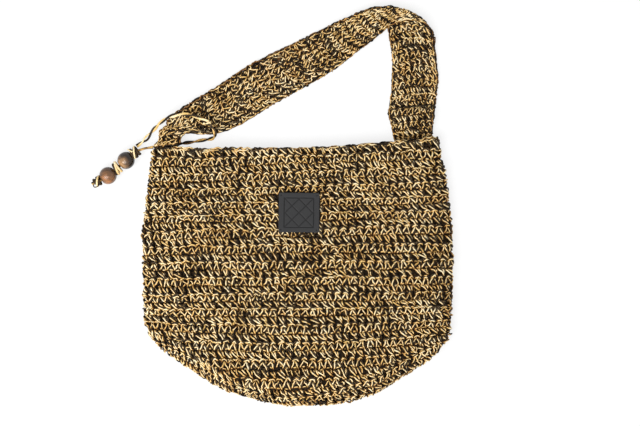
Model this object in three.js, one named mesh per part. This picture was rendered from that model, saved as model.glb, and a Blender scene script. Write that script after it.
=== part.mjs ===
// A crocheted bucket bag of two-colour raffia yarn, lying on its back with its strap laid out above it.
// Millimetres. +Z is up, +Y runs from the base to the mouth and strap, and the back lies on z = 0.
import * as THREE from "three";
import { mergeVertices } from "three/addons/utils/BufferGeometryUtils.js";

// ---- Driving sizes ----
const CLOTH = 4;                // thickness of the crocheted cloth, two strands of yarn held together
const GAP = 0.3;                // clearance between pieces that touch
const SEAM = 1.5;               // between the rim and the middle of the strap's slanting ends

const RIM_CROWN = 18;           // height of the front rim at its middle
const RIM_SIDE = 15;            // height of the front rim where it starts to turn over the side folds
const FOLD_HEIGHT = 8;          // height of the side folds above the ground
const FRONT_TURN = 20;          // width over which the front turns into a side fold
const BACK_TURN = 11;           // width over which the back turns into a side fold
const RISE_POWER = 1.6;         // how late the front rises from the rim to the base
const BACK_DROP = 4;            // the back rim lies this much lower than the front rim
const RIPPLE = 0.9;             // height of the soft waves in the front
const RIPPLE_WIDTH = 34;        // half length of a wave across the bag
const RIPPLE_HEIGHT = 45;       // half length of a wave down the bag
const BASE_ARC = 65 * Math.PI / 180;  // half angle of the arc in which the base bulges out

// The rim line of the front, a row for each place from the left fold (-1) to the right fold (1).
const RIM = [
  { across: -1.00, y: 55.0 },
  { across: -0.81, y: 58.5 },
  { across: 0.03, y: 57.0 },
  { across: 0.57, y: 62.0 },
  { across: 1.00, y: 68.0 },
];

// The side folds, a row for each height from the base corners up to the rim.
const SIDES = [
  { y: -128, left: -152.0, right: 153.0 },
  { y: -105, left: -155.0, right: 154.5 },
  { y: -72, left: -155.9, right: 156.0 },
  { y: -28, left: -156.0, right: 155.0 },
  { y: -6, left: -154.0, right: 153.0 },
  { y: 30, left: -150.0, right: 148.5 },
  { y: 55, left: -146.0, right: 143.0 },
  { y: 68, left: -145.0, right: 142.0 },
];

// The base, a row for each section across it: where the front meets it, how high that ridge stands,
// and how far down the base bulges.
const BASE = [
  { x: -152, ridgeY: -128, ridgeZ: 17, bulgeY: -128 },
  { x: -132, ridgeY: -135, ridgeZ: 23, bulgeY: -146.5 },
  { x: -104, ridgeY: -148, ridgeZ: 31, bulgeY: -167 },
  { x: -77, ridgeY: -167, ridgeZ: 38, bulgeY: -183 },
  { x: -50, ridgeY: -177, ridgeZ: 42, bulgeY: -190.5 },
  { x: -25, ridgeY: -183, ridgeZ: 44, bulgeY: -197 },
  { x: 3, ridgeY: -184, ridgeZ: 45, bulgeY: -199.3 },
  { x: 30, ridgeY: -179.5, ridgeZ: 45, bulgeY: -199 },
  { x: 55, ridgeY: -171, ridgeZ: 43, bulgeY: -195 },
  { x: 80, ridgeY: -164.5, ridgeZ: 39, bulgeY: -187 },
  { x: 104, ridgeY: -150, ridgeZ: 32, bulgeY: -172.5 },
  { x: 132, ridgeY: -137, ridgeZ: 23, bulgeY: -152 },
  { x: 153, ridgeY: -128, ridgeZ: 17, bulgeY: -128 },
];

const BAG_COLUMNS = 32;         // facets from fold to fold
const BAG_ROWS = 12;            // facets from the rim to the base
const BASE_ROWS = 8;            // facets round the bulge of the base
const STRAP_COLUMNS = 5;        // facets across the strap
const STRAP_ROWS = 60;          // facets along the strap

// The strap's two ends on the rim, as places across the bag.
const STRAP_LEFT = { front: -0.83, back: -0.85 };
const STRAP_RIGHT = { outer: 0.68, inner: 0.9 };

// The strap between its ends, a row for each section from the left end to the right end. The outer
// edge is the one away from the bag's middle at first, and middle is given where the strap curls.
const STRAP = [
  { outer: [-121, 62, 2.8], middle: [-138.5, 64, 8], inner: [-117.5, 65, 13] },
  { outer: [-125, 72, 4.5], middle: [-135, 74.5, 9], inner: [-110, 71.5, 12] },
  { outer: [-131.5, 82.5, 8], middle: [-114, 77, 11], inner: [-94, 71, 10.5] },
  { outer: [-116, 96.5, 8], inner: [-82, 71.5, 9] },
  { outer: [-84, 116.8, 5], inner: [-60, 82, 5.5] },
  { outer: [-50, 139.6, 2], inner: [-26, 101, 2] },
  { outer: [13, 170.5, 2], inner: [34, 139.5, 2] },
  { outer: [40, 183.5, 4], inner: [62, 156.5, 4.5] },
  { outer: [60, 191.8, 7.2], inner: [79, 169, 7.6] },
  { outer: [74, 196.6, 7.8], inner: [95, 181.5, 8] },
  { outer: [83, 197.9, 7.8], middle: [99, 192.5, 8], inner: [114, 185.5, 8] },
  { outer: [87, 197.6, 7.2], middle: [110, 192.5, 7.6], inner: [128, 181, 7.6] },
  { outer: [88.5, 196.2, 4.9], middle: [114.5, 190, 4.9], inner: [137.3, 166, 4.9] },
  { outer: [88.5, 192, 2.2], middle: [111, 184, 2.2], inner: [137, 157, 2.2] },
  { outer: [91, 172, 2], inner: [139.5, 143, 2] },
  { outer: [94.5, 148, 2], inner: [140.8, 128, 2] },
  { outer: [94.3, 120, 2], inner: [139.5, 112, 2] },
  { outer: [92.5, 103, 3], inner: [138, 99, 3] },
  { outer: [90.5, 93, 7], inner: [136.5, 89, 6.5] },
  { outer: [93.5, 79, 5], inner: [133.5, 76, 5] },
];

const PATCH = { x: 1.2, y: -8, width: 40.7, height: 39.5, thickness: 2, turn: -0.01, facets: 6 };

const CORD = 3;                 // across the tie's two strands of yarn
const CORD_SIDES = 8;
const CORE_CLEARANCE = 0.9;     // between the tie and the bore of a bead or knot, for the tie's bend
const FACE_RADIUS = 3.6;        // flat end of a bead or knot, round its bore
const BEAD_RADIUS = 8.7;
const CHARM_Z = BEAD_RADIUS;    // the beads lie on the ground

// What is threaded on the tie, from the bag outwards. radius is across the tie, half is along it.
const CHARM = [
  { name: "knot_top", at: [-163.5, 52.3, CHARM_Z], radius: 6, half: 3.5, hue: 0x5c4a2a },
  { name: "bead_upper", at: [-172.4, 44.2, CHARM_Z], radius: BEAD_RADIUS, half: 7.6, hue: 0x4a3723 },
  { name: "knot_middle", at: [-181.6, 36.6, CHARM_Z], radius: 6.6, half: 3.4, hue: 0xb89a5c },
  { name: "bead_lower", at: [-190.4, 29, CHARM_Z], radius: BEAD_RADIUS, half: 7.6, hue: 0x5e3a22 },
  { name: "knot_end", at: [-200.8, 23.2, CHARM_Z], radius: 5.2, half: 3.2, hue: 0xb89a5c },
];

// The tie's short leg, from the corner of the bag through the beads to its tail.
const SHORT_LEG = [
  [-144.9, 57.4, 9.6], [-150.5, 56.6, 9.4], [-157, 55.2, 9], ...CHARM.map((row) => row.at),
  [-207, 21, 7.6],
];

// The tie's long leg, from the corner of the bag, round the strap's lower edge and over the strap to
// the top knot.
const LONG_LEG = [
  [-117.5, 61.2, 8.8], [-113, 62.2, 5.4], [-105, 63.6, 2.6], [-95, 65, 1.9], [-86.5, 66, 3.6],
  [-79.8, 67.4, 8.6], [-79.4, 72.4, 14.2], [-86, 79.5, 15.4], [-95, 85, 15.5], [-105, 88.8, 15.4],
  [-116, 90, 15], [-126, 88.5, 14], [-136, 83, 12], [-145, 74.5, 10.4], [-153, 65, 9.6],
  [-161.8, 58.5, 9.3],
];

// ---- Reading the tables ----
const clamp = (value, low, high) => Math.min(Math.max(value, low), high);

// A smooth value of one column of a table, between the rows on either side of a place.
function smooth(rows, key, column, place) {
  const last = rows.length - 1;
  let row = 0;
  while (row < last - 1 && place > rows[row + 1][key]) {
    row += 1;
  }
  const slope = (at) => {
    const before = rows[Math.max(at - 1, 0)];
    const after = rows[Math.min(at + 1, last)];
    return (after[column] - before[column]) / (after[key] - before[key]);
  };
  const width = rows[row + 1][key] - rows[row][key];
  const s = clamp((place - rows[row][key]) / width, 0, 1);
  const start = rows[row][column] * (2 * s ** 3 - 3 * s ** 2 + 1);
  const end = rows[row + 1][column] * (3 * s ** 2 - 2 * s ** 3);
  const startBend = slope(row) * width * (s ** 3 - 2 * s ** 2 + s);
  const endBend = slope(row + 1) * width * (s ** 3 - s ** 2);
  return start + end + startBend + endBend;
}

// ---- Turning grids of points into closed solids ----
function addTriangle(corners, a, b, c) {
  const flat = a.distanceTo(b) < 1e-3 || b.distanceTo(c) < 1e-3 || c.distanceTo(a) < 1e-3;
  if (!flat) {
    corners.push(...a.toArray(), ...b.toArray(), ...c.toArray());
  }
}

function addGrid(corners, rows, turned) {
  for (let r = 0; r + 1 < rows.length; r += 1) {
    for (let c = 0; c + 1 < rows[r].length; c += 1) {
      const quad = [rows[r][c], rows[r + 1][c], rows[r + 1][c + 1], rows[r][c + 1]];
      if (turned) {
        quad.reverse();
      }
      addTriangle(corners, quad[0], quad[1], quad[2]);
      addTriangle(corners, quad[0], quad[2], quad[3]);
    }
  }
}

// The solid between an outer and an inner grid of points. Its first and last rows are closed with
// strips, and its sides too unless they already meet.
function solidBetween(outer, inner, closeSides) {
  const corners = [];
  const last = outer.length - 1;
  addGrid(corners, outer, false);
  addGrid(corners, inner, true);
  addGrid(corners, [inner[0], outer[0]], false);
  addGrid(corners, [outer[last], inner[last]], false);
  if (closeSides) {
    const edge = outer[0].length - 1;
    addGrid(corners, outer.map((row, r) => [inner[r][0], row[0]]), false);
    addGrid(corners, outer.map((row, r) => [row[edge], inner[r][edge]]), false);
  }
  const soup = new THREE.BufferGeometry();
  soup.setAttribute("position", new THREE.Float32BufferAttribute(corners, 3));
  const geometry = mergeVertices(soup, 1e-3);
  geometry.computeVertexNormals();
  return geometry;
}

function piece(name, geometry, color, roughness) {
  const mesh = new THREE.Mesh(geometry, new THREE.MeshStandardMaterial({ color, roughness, metalness: 0 }));
  mesh.name = name;
  return mesh;
}

// ---- The bag's surface ----
// How far a place across the bag has turned into a side fold: 1 on the flat, 0 at the fold itself.
function flatness(x, left, right, turn) {
  const fromFold = Math.min(x - left, right - x);
  return Math.sqrt(1 - (1 - clamp(fromFold / turn, 0, 1)) ** 2);
}

// A point of the front or back. across runs from -1 to 1, down from 0 at the rim to 1 at the base, and
// depth is how far inside the outer face the point lies.
function panelPoint(across, down, isFront, depth) {
  const rimY = smooth(RIM, "across", "y", across);
  const flatX = across * BASE[BASE.length - 1].x;
  const ridgeY = smooth(BASE, "x", "ridgeY", flatX) + depth;
  const sideY = Math.max(rimY + (ridgeY - rimY) * down, SIDES[0].y);
  const left = smooth(SIDES, "y", "left", sideY) + depth;
  const right = smooth(SIDES, "y", "right", sideY) - depth;
  const x = left + (right - left) * (across + 1) / 2;
  const turn = isFront ? FRONT_TURN : BACK_TURN;
  const flat = flatness(x, left, right, turn);
  const top = isFront ? rimY : rimY - BACK_DROP * flat;
  const y = top + (ridgeY - top) * down;
  if (!isFront) {
    return new THREE.Vector3(x, y, FOLD_HEIGHT - (FOLD_HEIGHT - depth) * flat);
  }
  const rimZ = RIM_SIDE + (RIM_CROWN - RIM_SIDE) * (1 - across ** 2);
  const rise = (smooth(BASE, "x", "ridgeZ", flatX) - rimZ) * down ** RISE_POWER;
  const wave = RIPPLE * Math.sin(x / RIPPLE_WIDTH) * Math.sin(y / RIPPLE_HEIGHT + 1);
  return new THREE.Vector3(x, y, FOLD_HEIGHT + (rimZ + rise + wave - depth - FOLD_HEIGHT) * flat);
}

// A point of the base. round runs from -1 at the front ridge to 1 at the back ridge.
function basePoint(across, round, depth) {
  const front = panelPoint(across, 1, true, depth);
  const back = panelPoint(across, 1, false, depth);
  const flatX = across * BASE[BASE.length - 1].x;
  const bulge = smooth(BASE, "x", "bulgeY", flatX) - smooth(BASE, "x", "ridgeY", flatX);
  const angle = round * BASE_ARC;
  const outwards = (Math.cos(angle) - Math.cos(BASE_ARC)) / (1 - Math.cos(BASE_ARC));
  const point = front.lerp(back, (1 + Math.sin(angle) / Math.sin(BASE_ARC)) / 2);
  point.y += bulge * outwards;
  return point;
}

// The whole surface as rows of points: down the front, round the base and back up the back.
function bagRows(depth) {
  const stations = [];
  for (let c = 0; c <= BAG_COLUMNS; c += 1) {
    stations.push(Math.sin((2 * c / BAG_COLUMNS - 1) * Math.PI / 2));
  }
  const rows = [];
  for (let r = 0; r <= BAG_ROWS; r += 1) {
    rows.push(stations.map((across) => panelPoint(across, r / BAG_ROWS, true, depth)));
  }
  for (let r = 1; r < BASE_ROWS; r += 1) {
    rows.push(stations.map((across) => basePoint(across, 2 * r / BASE_ROWS - 1, depth)));
  }
  for (let r = BAG_ROWS; r >= 0; r -= 1) {
    rows.push(stations.map((across) => panelPoint(across, r / BAG_ROWS, false, depth)));
  }
  return rows;
}

// ---- The strap's surface ----
// A place on the end of the rim's cloth, where the strap is joined.
function rimSeat(across, isFront) {
  const seat = panelPoint(across, 0, isFront, CLOTH / 2);
  seat.y += SEAM;
  return seat;
}

function strapSections() {
  const sections = STRAP.map((row) => {
    const outer = new THREE.Vector3(...row.outer);
    const inner = new THREE.Vector3(...row.inner);
    const middle = row.middle ? new THREE.Vector3(...row.middle) : outer.clone().lerp(inner, 0.5);
    return { outer, middle, inner };
  });
  const { front, back } = STRAP_LEFT;
  sections.unshift({ outer: rimSeat(back, false), middle: rimSeat(-1, true), inner: rimSeat(front, true) });
  const { outer, inner } = STRAP_RIGHT;
  const seatMiddle = rimSeat((outer + inner) / 2, false);
  sections.push({ outer: rimSeat(outer, false), middle: seatMiddle, inner: rimSeat(inner, false) });
  return sections;
}

const STRAP_EDGES = (() => {
  const sections = strapSections();
  const curve = (name) => new THREE.CatmullRomCurve3(sections.map((section) => section[name]));
  return { outer: curve("outer"), middle: curve("middle"), inner: curve("inner") };
})();

// A point in the middle of the strap's thickness, on a parabola through its two edges and its middle.
function strapPoint(along, across) {
  const outer = STRAP_EDGES.outer.getPoint(along);
  const middle = STRAP_EDGES.middle.getPoint(along);
  const inner = STRAP_EDGES.inner.getPoint(along);
  return outer.multiplyScalar(2 * (across - 0.5) * (across - 1))
    .addScaledVector(middle, 4 * across * (1 - across))
    .addScaledVector(inner, 2 * across * (across - 0.5));
}

function strapFace(along, across, side) {
  const step = 1e-3;
  const before = clamp(along - step, 0, 1);
  const after = clamp(along + step, 0, 1);
  const lengthwise = strapPoint(after, across).sub(strapPoint(before, across));
  const crosswise = strapPoint(along, across + step).sub(strapPoint(along, across - step));
  const normal = lengthwise.cross(crosswise).normalize();
  const face = strapPoint(along, across).addScaledVector(normal, side * CLOTH / 2);
  face.z = Math.max(face.z, 0);
  return face;
}

function strapRows(side) {
  const rows = [];
  for (let r = 0; r <= STRAP_ROWS; r += 1) {
    const row = [];
    for (let c = 0; c <= STRAP_COLUMNS; c += 1) {
      row.push(strapFace(r / STRAP_ROWS, c / STRAP_COLUMNS, side));
    }
    rows.push(row);
  }
  return rows;
}

// ---- The patch, bent to the front of the bag ----
function frontHeight(x, y) {
  const left = smooth(SIDES, "y", "left", y);
  const right = smooth(SIDES, "y", "right", y);
  const across = 2 * (x - left) / (right - left) - 1;
  const rimY = smooth(RIM, "across", "y", across);
  const ridgeY = smooth(BASE, "x", "ridgeY", across * BASE[BASE.length - 1].x);
  return panelPoint(across, (rimY - y) / (rimY - ridgeY), true, 0).z;
}

function patchRows(lift) {
  const rows = [];
  for (let r = 0; r <= PATCH.facets; r += 1) {
    const row = [];
    for (let c = 0; c <= PATCH.facets; c += 1) {
      const right = PATCH.width * (c / PATCH.facets - 0.5);
      const up = PATCH.height * (0.5 - r / PATCH.facets);
      const x = PATCH.x + right - up * PATCH.turn;
      const y = PATCH.y + up + right * PATCH.turn;
      row.push(new THREE.Vector3(x, y, frontHeight(x, y) + lift));
    }
    rows.push(row);
  }
  return rows;
}

// ---- The tie and what is threaded on it ----
function cordPath(route) {
  return new THREE.CatmullRomCurve3(route.map((point) => new THREE.Vector3(...point)));
}

function cordGeometry(route) {
  const section = new THREE.Shape();
  for (let side = 0; side < CORD_SIDES; side += 1) {
    const angle = 2 * Math.PI * side / CORD_SIDES;
    const place = [Math.cos(angle) * CORD / 2, Math.sin(angle) * CORD / 2];
    if (side === 0) {
      section.moveTo(...place);
    } else {
      section.lineTo(...place);
    }
  }
  section.closePath();
  const path = cordPath(route);
  const steps = Math.round(path.getLength() / (2.5 * CORD));
  return new THREE.ExtrudeGeometry(section, { steps, bevelEnabled: false, extrudePath: path });
}

// A bead or knot: a ring with a round outside and a straight bore for the tie.
function ringGeometry(radius, half, facets) {
  const bore = CORD / 2 + CORE_CLEARANCE;
  const steps = facets / 2;
  const profile = [];
  for (let step = 0; step <= steps; step += 1) {
    const along = 2 * step / steps - 1;
    const across = Math.sqrt(radius ** 2 - (radius ** 2 - FACE_RADIUS ** 2) * along ** 2);
    profile.push(new THREE.Vector2(across, half * along));
  }
  profile.push(new THREE.Vector2(bore, half));
  profile.push(new THREE.Vector2(bore, -half));
  profile.push(profile[0].clone());
  return new THREE.LatheGeometry(profile, facets);
}

function charmPiece({ name, at, radius, half, hue }) {
  const direction = cordPath(SHORT_LEG).getTangent(SHORT_LEG.indexOf(at) / (SHORT_LEG.length - 1));
  const isBead = name.startsWith("bead");
  const mesh = piece(name, ringGeometry(radius, half, isBead ? 20 : 12), hue, isBead ? 0.35 : 0.8);
  mesh.position.set(...at);
  mesh.quaternion.setFromUnitVectors(new THREE.Vector3(0, 1, 0), direction);
  return mesh;
}

// ---- The bag put together ----
const bag = new THREE.Group();
bag.add(piece("bag_body", solidBetween(bagRows(0), bagRows(CLOTH), false), 0x6d5a38, 0.8));
bag.add(piece("strap", solidBetween(strapRows(1), strapRows(-1), true), 0x6d5a38, 0.8));
const patchSolid = solidBetween(patchRows(GAP + PATCH.thickness), patchRows(GAP), true);
bag.add(piece("patch", patchSolid, 0x3b3c3f, 0.7));
bag.add(piece("tie_short_leg", cordGeometry(SHORT_LEG), 0x8a7444, 0.7));
bag.add(piece("tie_long_leg", cordGeometry(LONG_LEG), 0x8a7444, 0.7));
bag.add(...CHARM.map(charmPiece));

export default bag;
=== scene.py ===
import math

import bmesh
import bpy
import numpy as np
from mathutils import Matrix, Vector


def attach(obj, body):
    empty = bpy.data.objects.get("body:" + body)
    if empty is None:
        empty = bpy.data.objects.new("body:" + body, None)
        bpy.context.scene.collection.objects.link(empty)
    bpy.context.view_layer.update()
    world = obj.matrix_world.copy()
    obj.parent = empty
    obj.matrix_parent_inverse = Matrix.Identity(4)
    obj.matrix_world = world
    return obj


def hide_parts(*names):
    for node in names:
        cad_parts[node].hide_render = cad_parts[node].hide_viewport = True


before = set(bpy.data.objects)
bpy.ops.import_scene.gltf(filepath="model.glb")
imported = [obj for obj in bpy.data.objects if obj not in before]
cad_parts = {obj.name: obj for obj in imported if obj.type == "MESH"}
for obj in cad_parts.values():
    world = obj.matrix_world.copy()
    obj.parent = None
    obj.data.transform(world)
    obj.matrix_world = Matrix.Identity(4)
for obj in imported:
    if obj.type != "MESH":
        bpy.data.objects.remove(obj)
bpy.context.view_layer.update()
scene = bpy.context.scene

# ---------------------------------------------------------------- camera
# The bag lies on its back on a white table. The camera looks straight down on it, from
# a little to the right of its middle.
CAMERA_HEIGHT = 1.55
CAMERA_OVER = (0.022, -0.0085)
CAMERA_REACH = 20.0
SENSOR = 36.0
# The width of what is in view, at a level a little above the table.
VIEW_WIDTH = 0.64
VIEW_LEVEL = 0.012


def put_in_scene(name, data):
    """A new object that is made of this data."""
    made = bpy.data.objects.new(name, data)
    scene.collection.objects.link(made)
    return made


camera_data = bpy.data.cameras.new("camera")
camera_data.sensor_width = SENSOR
camera_data.lens = SENSOR * (CAMERA_HEIGHT - VIEW_LEVEL) / VIEW_WIDTH
camera_data.clip_end = CAMERA_REACH
camera = put_in_scene("camera", camera_data)
camera.location = (*CAMERA_OVER, CAMERA_HEIGHT)
scene.camera = camera

# ---------------------------------------------------------------- yarn
# The whole bag is worked with two strands held together: one of golden raffia and one of
# nearly black raffia. Each is a soft, slightly flat strand about 2 mm wide, with fine
# fibres along it, and the gold one goes paler and browner from place to place.
MM = 0.001
# Each yarn's darkest, middle and palest tone. The painted light and shade below move a strand
# between them, so the darkest gold, a reddish brown, is partly gold yarn in painted shade, and
# the palest tones are partly painted highlight.
GOLD = ((0.15, 0.066, 0.012), (0.80, 0.534, 0.168), (1.0, 0.947, 0.68))
BLACK = ((0.0045, 0.0028, 0.0016), (0.022, 0.0145, 0.0080), (0.083, 0.062, 0.040))
REDDER = (1.02, 0.84, 0.66)
# Blotches to a metre: of the slow drift in tone, and of the warmer and cooler spots.
DRIFTS = 55.0
WARM_SPOTS = 330.0
# The fibres' fineness along a strand, round it, and how much they differ between loops.
FIBRES = (180.0, 9.0, 40.0)
FIBRE_ROUGHNESS = 0.6
FIBRE_DEPTH = 0.0004
FIBRE_BUMP = 0.35
# How much each of these lightens the yarn: the drift, the loop's own tone, the fibre, the height
# in the cloth, which is painted shade that darkens loops lying deep, how far the skin faces out
# of the cloth, which is painted light and shade, paler on a strand's crown and darker on its
# sides, and the warmer spots.
BY_DRIFT, BY_LOOP, BY_FIBRE, PAINTED_SHADE_BY_HEIGHT, PAINTED_LIGHT_BY_FACING, BY_WARMTH = 0.5, 0.25, 0.5, 0.25, 1.0, 0.5
# How the skin's facing turns into painted light and shade: its gain, and what is taken off.
PAINTED_LIGHT_GAIN, PAINTED_LIGHT_LOSS = 1.25, 0.15
# What is taken off their sum, and then the contrast and the level of the tones.
TAKEN_OFF = 0.79
CONTRAST, LEVEL = 1.65, 0.58
# How sharply the warmer spots turn redder, and how much of the yarn they are.
REDDER_CONTRAST, REDDER_LEVEL = 4.0, 0.4
# The shine of the smoothest fibre, and how much duller the dullest one is.
SMOOTHEST, DULLER = 0.42, 0.3
GOLD_GLOSS, BLACK_GLOSS = 0.35, 0.1


class Number:
    """A number that a node gives, so that sums can be written as plain expressions."""

    def __init__(self, graph, socket):
        self.graph = graph
        self.socket = socket

    def _with(self, operation, other, swapped=False):
        pair = (other, self) if swapped else (self, other)
        return self.graph.number("ShaderNodeMath", dict(enumerate(pair)), operation=operation)

    def __add__(self, other):
        return self._with("ADD", other)

    def __sub__(self, other):
        return self._with("SUBTRACT", other)

    def __mul__(self, other):
        return self._with("MULTIPLY", other)

    def __truediv__(self, other):
        return self._with("DIVIDE", other)

    def __rsub__(self, other):
        return self._with("SUBTRACT", other, True)

    def __rtruediv__(self, other):
        return self._with("DIVIDE", other, True)

    __radd__ = __add__
    __rmul__ = __mul__

    def clamped(self):
        return self.graph.number(
            "ShaderNodeMath", {0: self, 1: 0.0}, operation="ADD", use_clamp=True
        )

    def wave(self, operation="SINE"):
        return self.graph.number("ShaderNodeMath", {0: self}, operation=operation)


def socket_of(value):
    """The socket behind a number, or the value itself."""
    return value.socket if isinstance(value, Number) else value


class Graph:
    """One node tree. Every node is made by add: its kind, its sockets, then its settings."""

    def __init__(self, tree):
        self.tree = tree

    def add(self, kind, sockets=None, **settings):
        node = self.tree.nodes.new(kind)
        for name, value in settings.items():
            setattr(node, name, value)
        for key, value in (sockets or {}).items():
            value = socket_of(value)
            if isinstance(value, bpy.types.NodeSocket):
                self.tree.links.new(value, node.inputs[key])
            else:
                node.inputs[key].default_value = value
        return node

    def number(self, kind, sockets=None, output=0, **settings):
        return Number(self, self.add(kind, sockets, **settings).outputs[output])

    def vector(self, operation, *values):
        node = self.add("ShaderNodeVectorMath", dict(enumerate(values)), operation=operation)
        return node.outputs["Value" if operation in ("LENGTH", "DOT_PRODUCT") else "Vector"]

    def scaled(self, vector, factor):
        sockets = {0: vector, "Scale": factor}
        return self.add("ShaderNodeVectorMath", sockets, operation="SCALE").outputs["Vector"]

    def attribute(self, name):
        return self.number("ShaderNodeAttribute", output="Fac", attribute_name=name)

    def here(self):
        """A point's place on the part."""
        return self.add("ShaderNodeTexCoord").outputs["Object"]

    def noise(self, where, scale, detail=2.0, roughness=0.5):
        """Soft blotches, from 0 to 1. Scale is how many there are in a unit of length."""
        sockets = {"Vector": where, "Scale": scale, "Detail": detail, "Roughness": roughness}
        return self.number("ShaderNodeTexNoise", sockets)

    def bump(self, height, strength, distance):
        sockets = {"Strength": strength, "Distance": distance, "Height": height}
        return self.add("ShaderNodeBump", sockets).outputs[0]

    def mixed(self, factor, *colours):
        """From one colour to another. Each is a link, or its red, green and blue."""
        first, second = (
            colour if isinstance(colour, bpy.types.NodeSocket) else (*colour, 1.0)
            for colour in colours
        )
        sockets = {0: factor, 6: first, 7: second}
        return self.add("ShaderNodeMix", sockets, data_type="RGBA").outputs[2]

    def toned(self, light, tones):
        """Three tones: the darkest at 0, the middle one at a half and the palest at 1."""
        low = self.mixed((light * 2).clamped(), tones[0], tones[1])
        return self.mixed((light * 2 - 1).clamped(), low, tones[2])


def material(name, **uniform):
    """A new material, its graph and its shader, with the even values set on the shader."""
    made = bpy.data.materials.new(name)
    made.use_nodes = True
    graph = Graph(made.node_tree)
    shader = made.node_tree.nodes["Principled BSDF"]
    for key, value in uniform.items():
        shader.inputs[key.replace("_", " ")].default_value = value
    return made, graph, shader


def join(graph, shader, **sockets):
    """Links what changes over the surface to the shader."""
    for key, value in sockets.items():
        graph.tree.links.new(socket_of(value), shader.inputs[key.replace("_", " ")])


def yarn_material(name, tones, gloss):
    """Raffia: a tone that drifts over the cloth and differs a little from loop to loop, fine
    fibres that run along the strand, and painted light and shade: paler where the skin faces out
    of the cloth, darker on a strand's sides and where its loop lies deep."""
    made, graph, shader = material(name, Specular_IOR_Level=gloss)
    place = graph.here()
    drift = graph.noise(place, DRIFTS)
    warmth = graph.noise(place, WARM_SPOTS, 1.0)
    run, rim, tone, height, facing = (
        graph.attribute(x) for x in ("run", "rim", "tone", "height", "facing")
    )
    lengthwise = graph.add(
        "ShaderNodeCombineXYZ", {0: run * FIBRES[0], 1: rim * FIBRES[1], 2: tone * FIBRES[2]}
    )
    fibres = graph.noise(lengthwise.outputs[0], 1.0, roughness=FIBRE_ROUGHNESS)
    # Painted light and shade from how far the skin faces out of the cloth, and painted shade from
    # how deep the loop lies.
    painted_light = (facing * PAINTED_LIGHT_GAIN - PAINTED_LIGHT_LOSS).clamped()
    light = drift * BY_DRIFT + tone * BY_LOOP + (fibres - 0.5) * BY_FIBRE
    light = light + height * PAINTED_SHADE_BY_HEIGHT + painted_light * PAINTED_LIGHT_BY_FACING - TAKEN_OFF
    light = ((light + (warmth - 0.5) * BY_WARMTH - 0.5) * CONTRAST + LEVEL).clamped()
    colour = graph.toned(light, tones)
    redder = graph.vector("MULTIPLY", colour, REDDER)
    reddened = ((warmth - 0.5) * REDDER_CONTRAST + REDDER_LEVEL).clamped()
    colour = graph.mixed(reddened, colour, redder)
    rough = SMOOTHEST + (1 - fibres) * DULLER
    bump = graph.bump(fibres, FIBRE_BUMP, FIBRE_DEPTH)
    join(graph, shader, Base_Color=colour, Roughness=rough, Normal=bump)
    return made


gold_yarn = yarn_material("gold_yarn", GOLD, GOLD_GLOSS)
black_yarn = yarn_material("black_yarn", BLACK, BLACK_GLOSS)

# ---------------------------------------------------------------- beaded tie
# A doubled length of the same two strands hangs from the strap's left end. The short leg
# runs out through a knot, a bead, a knot, a bead and an end knot. The long leg starts at
# the strap's foot, loops over the strap and comes back to the first knot.
# What is on the short leg: each one's middle, radius and half its length, in mm.
CHARM = (
    ("knot_top", (-163.5, 52.3, 8.7), 6.0, 3.5),
    ("bead_upper", (-172.4, 44.2, 8.7), 8.7, 7.6),
    ("knot_middle", (-181.6, 36.6, 8.7), 6.6, 3.4),
    ("bead_lower", (-190.4, 29.0, 8.7), 8.7, 7.6),
    ("knot_end", (-200.8, 23.2, 8.7), 5.2, 3.2),
)
SHORT_LEG = (
    [(-144.9, 57.4, 9.6), (-150.5, 56.6, 9.4), (-157.0, 55.2, 9.0)]
    + [place for _, place, _, _ in CHARM]
    + [(-207.0, 21.0, 7.6)]
)
LONG_LEG = [
    (-124.0, 60.4, 9.4),
    (-117.5, 61.2, 8.8),
    (-113.0, 61.8, 5.4),
    (-105.0, 63.1, 2.6),
    (-97.0, 64.5, 1.9),
    (-90.0, 65.6, 3.6),
    (-84.2, 67.2, 8.6),
    (-83.2, 72.6, 14.6),
    (-87.6, 80.0, 16.4),
    (-95.5, 85.0, 16.5),
    (-105.0, 88.6, 16.3),
    (-116.0, 90.0, 15.8),
    (-126.0, 88.5, 14.5),
    (-136.0, 83.0, 12.0),
    (-145.0, 74.5, 10.4),
    (-153.0, 65.0, 9.6),
    (-161.8, 58.5, 9.3),
]
LEG_STEP = 1.2
STRAND_WIDTH = 2.1
STRAND_THICKNESS = 0.9
STRAND_SIDES = 8
# How far the twist and a strand's width waver along a leg, and how often.
TWIST_WAVER = (0.05, 23)
WIDTH_WAVER = (0.16, 31)
# How flat the twisted pair lies, and how quickly and how far each strand rolls in it.
PAIR_FLATNESS = 0.6
ROLLING = (1.3, 0.45)
# A leg's tone, how far it wavers and how often, and how much darker a leg is from its start. On
# the long leg that darker start is painted shadow, where the strap shades it; the short leg is
# darker nearly all along.
LEG_TONE = 0.42
TONE_WAVER = (0.4, 27)
DARKER_FROM_START = 0.95
HITCH_RADIUS = 2.0
HITCH_WIDTH = 1.7
HITCH_TONE = 0.9
HITCH_STEPS = 24
# What the tube's skin says of itself where the loops of the cloth say how high they lie and how
# far they face outward, from which the yarn's material paints light and shade: here a loop that
# lies high and faces mostly outward.
TIE_PAINTED_SHADE_HEIGHT, TIE_PAINTED_LIGHT_FACING = 1.0, 0.7
GOLD_STRAND, BLACK_STRAND = 0, 1


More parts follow.
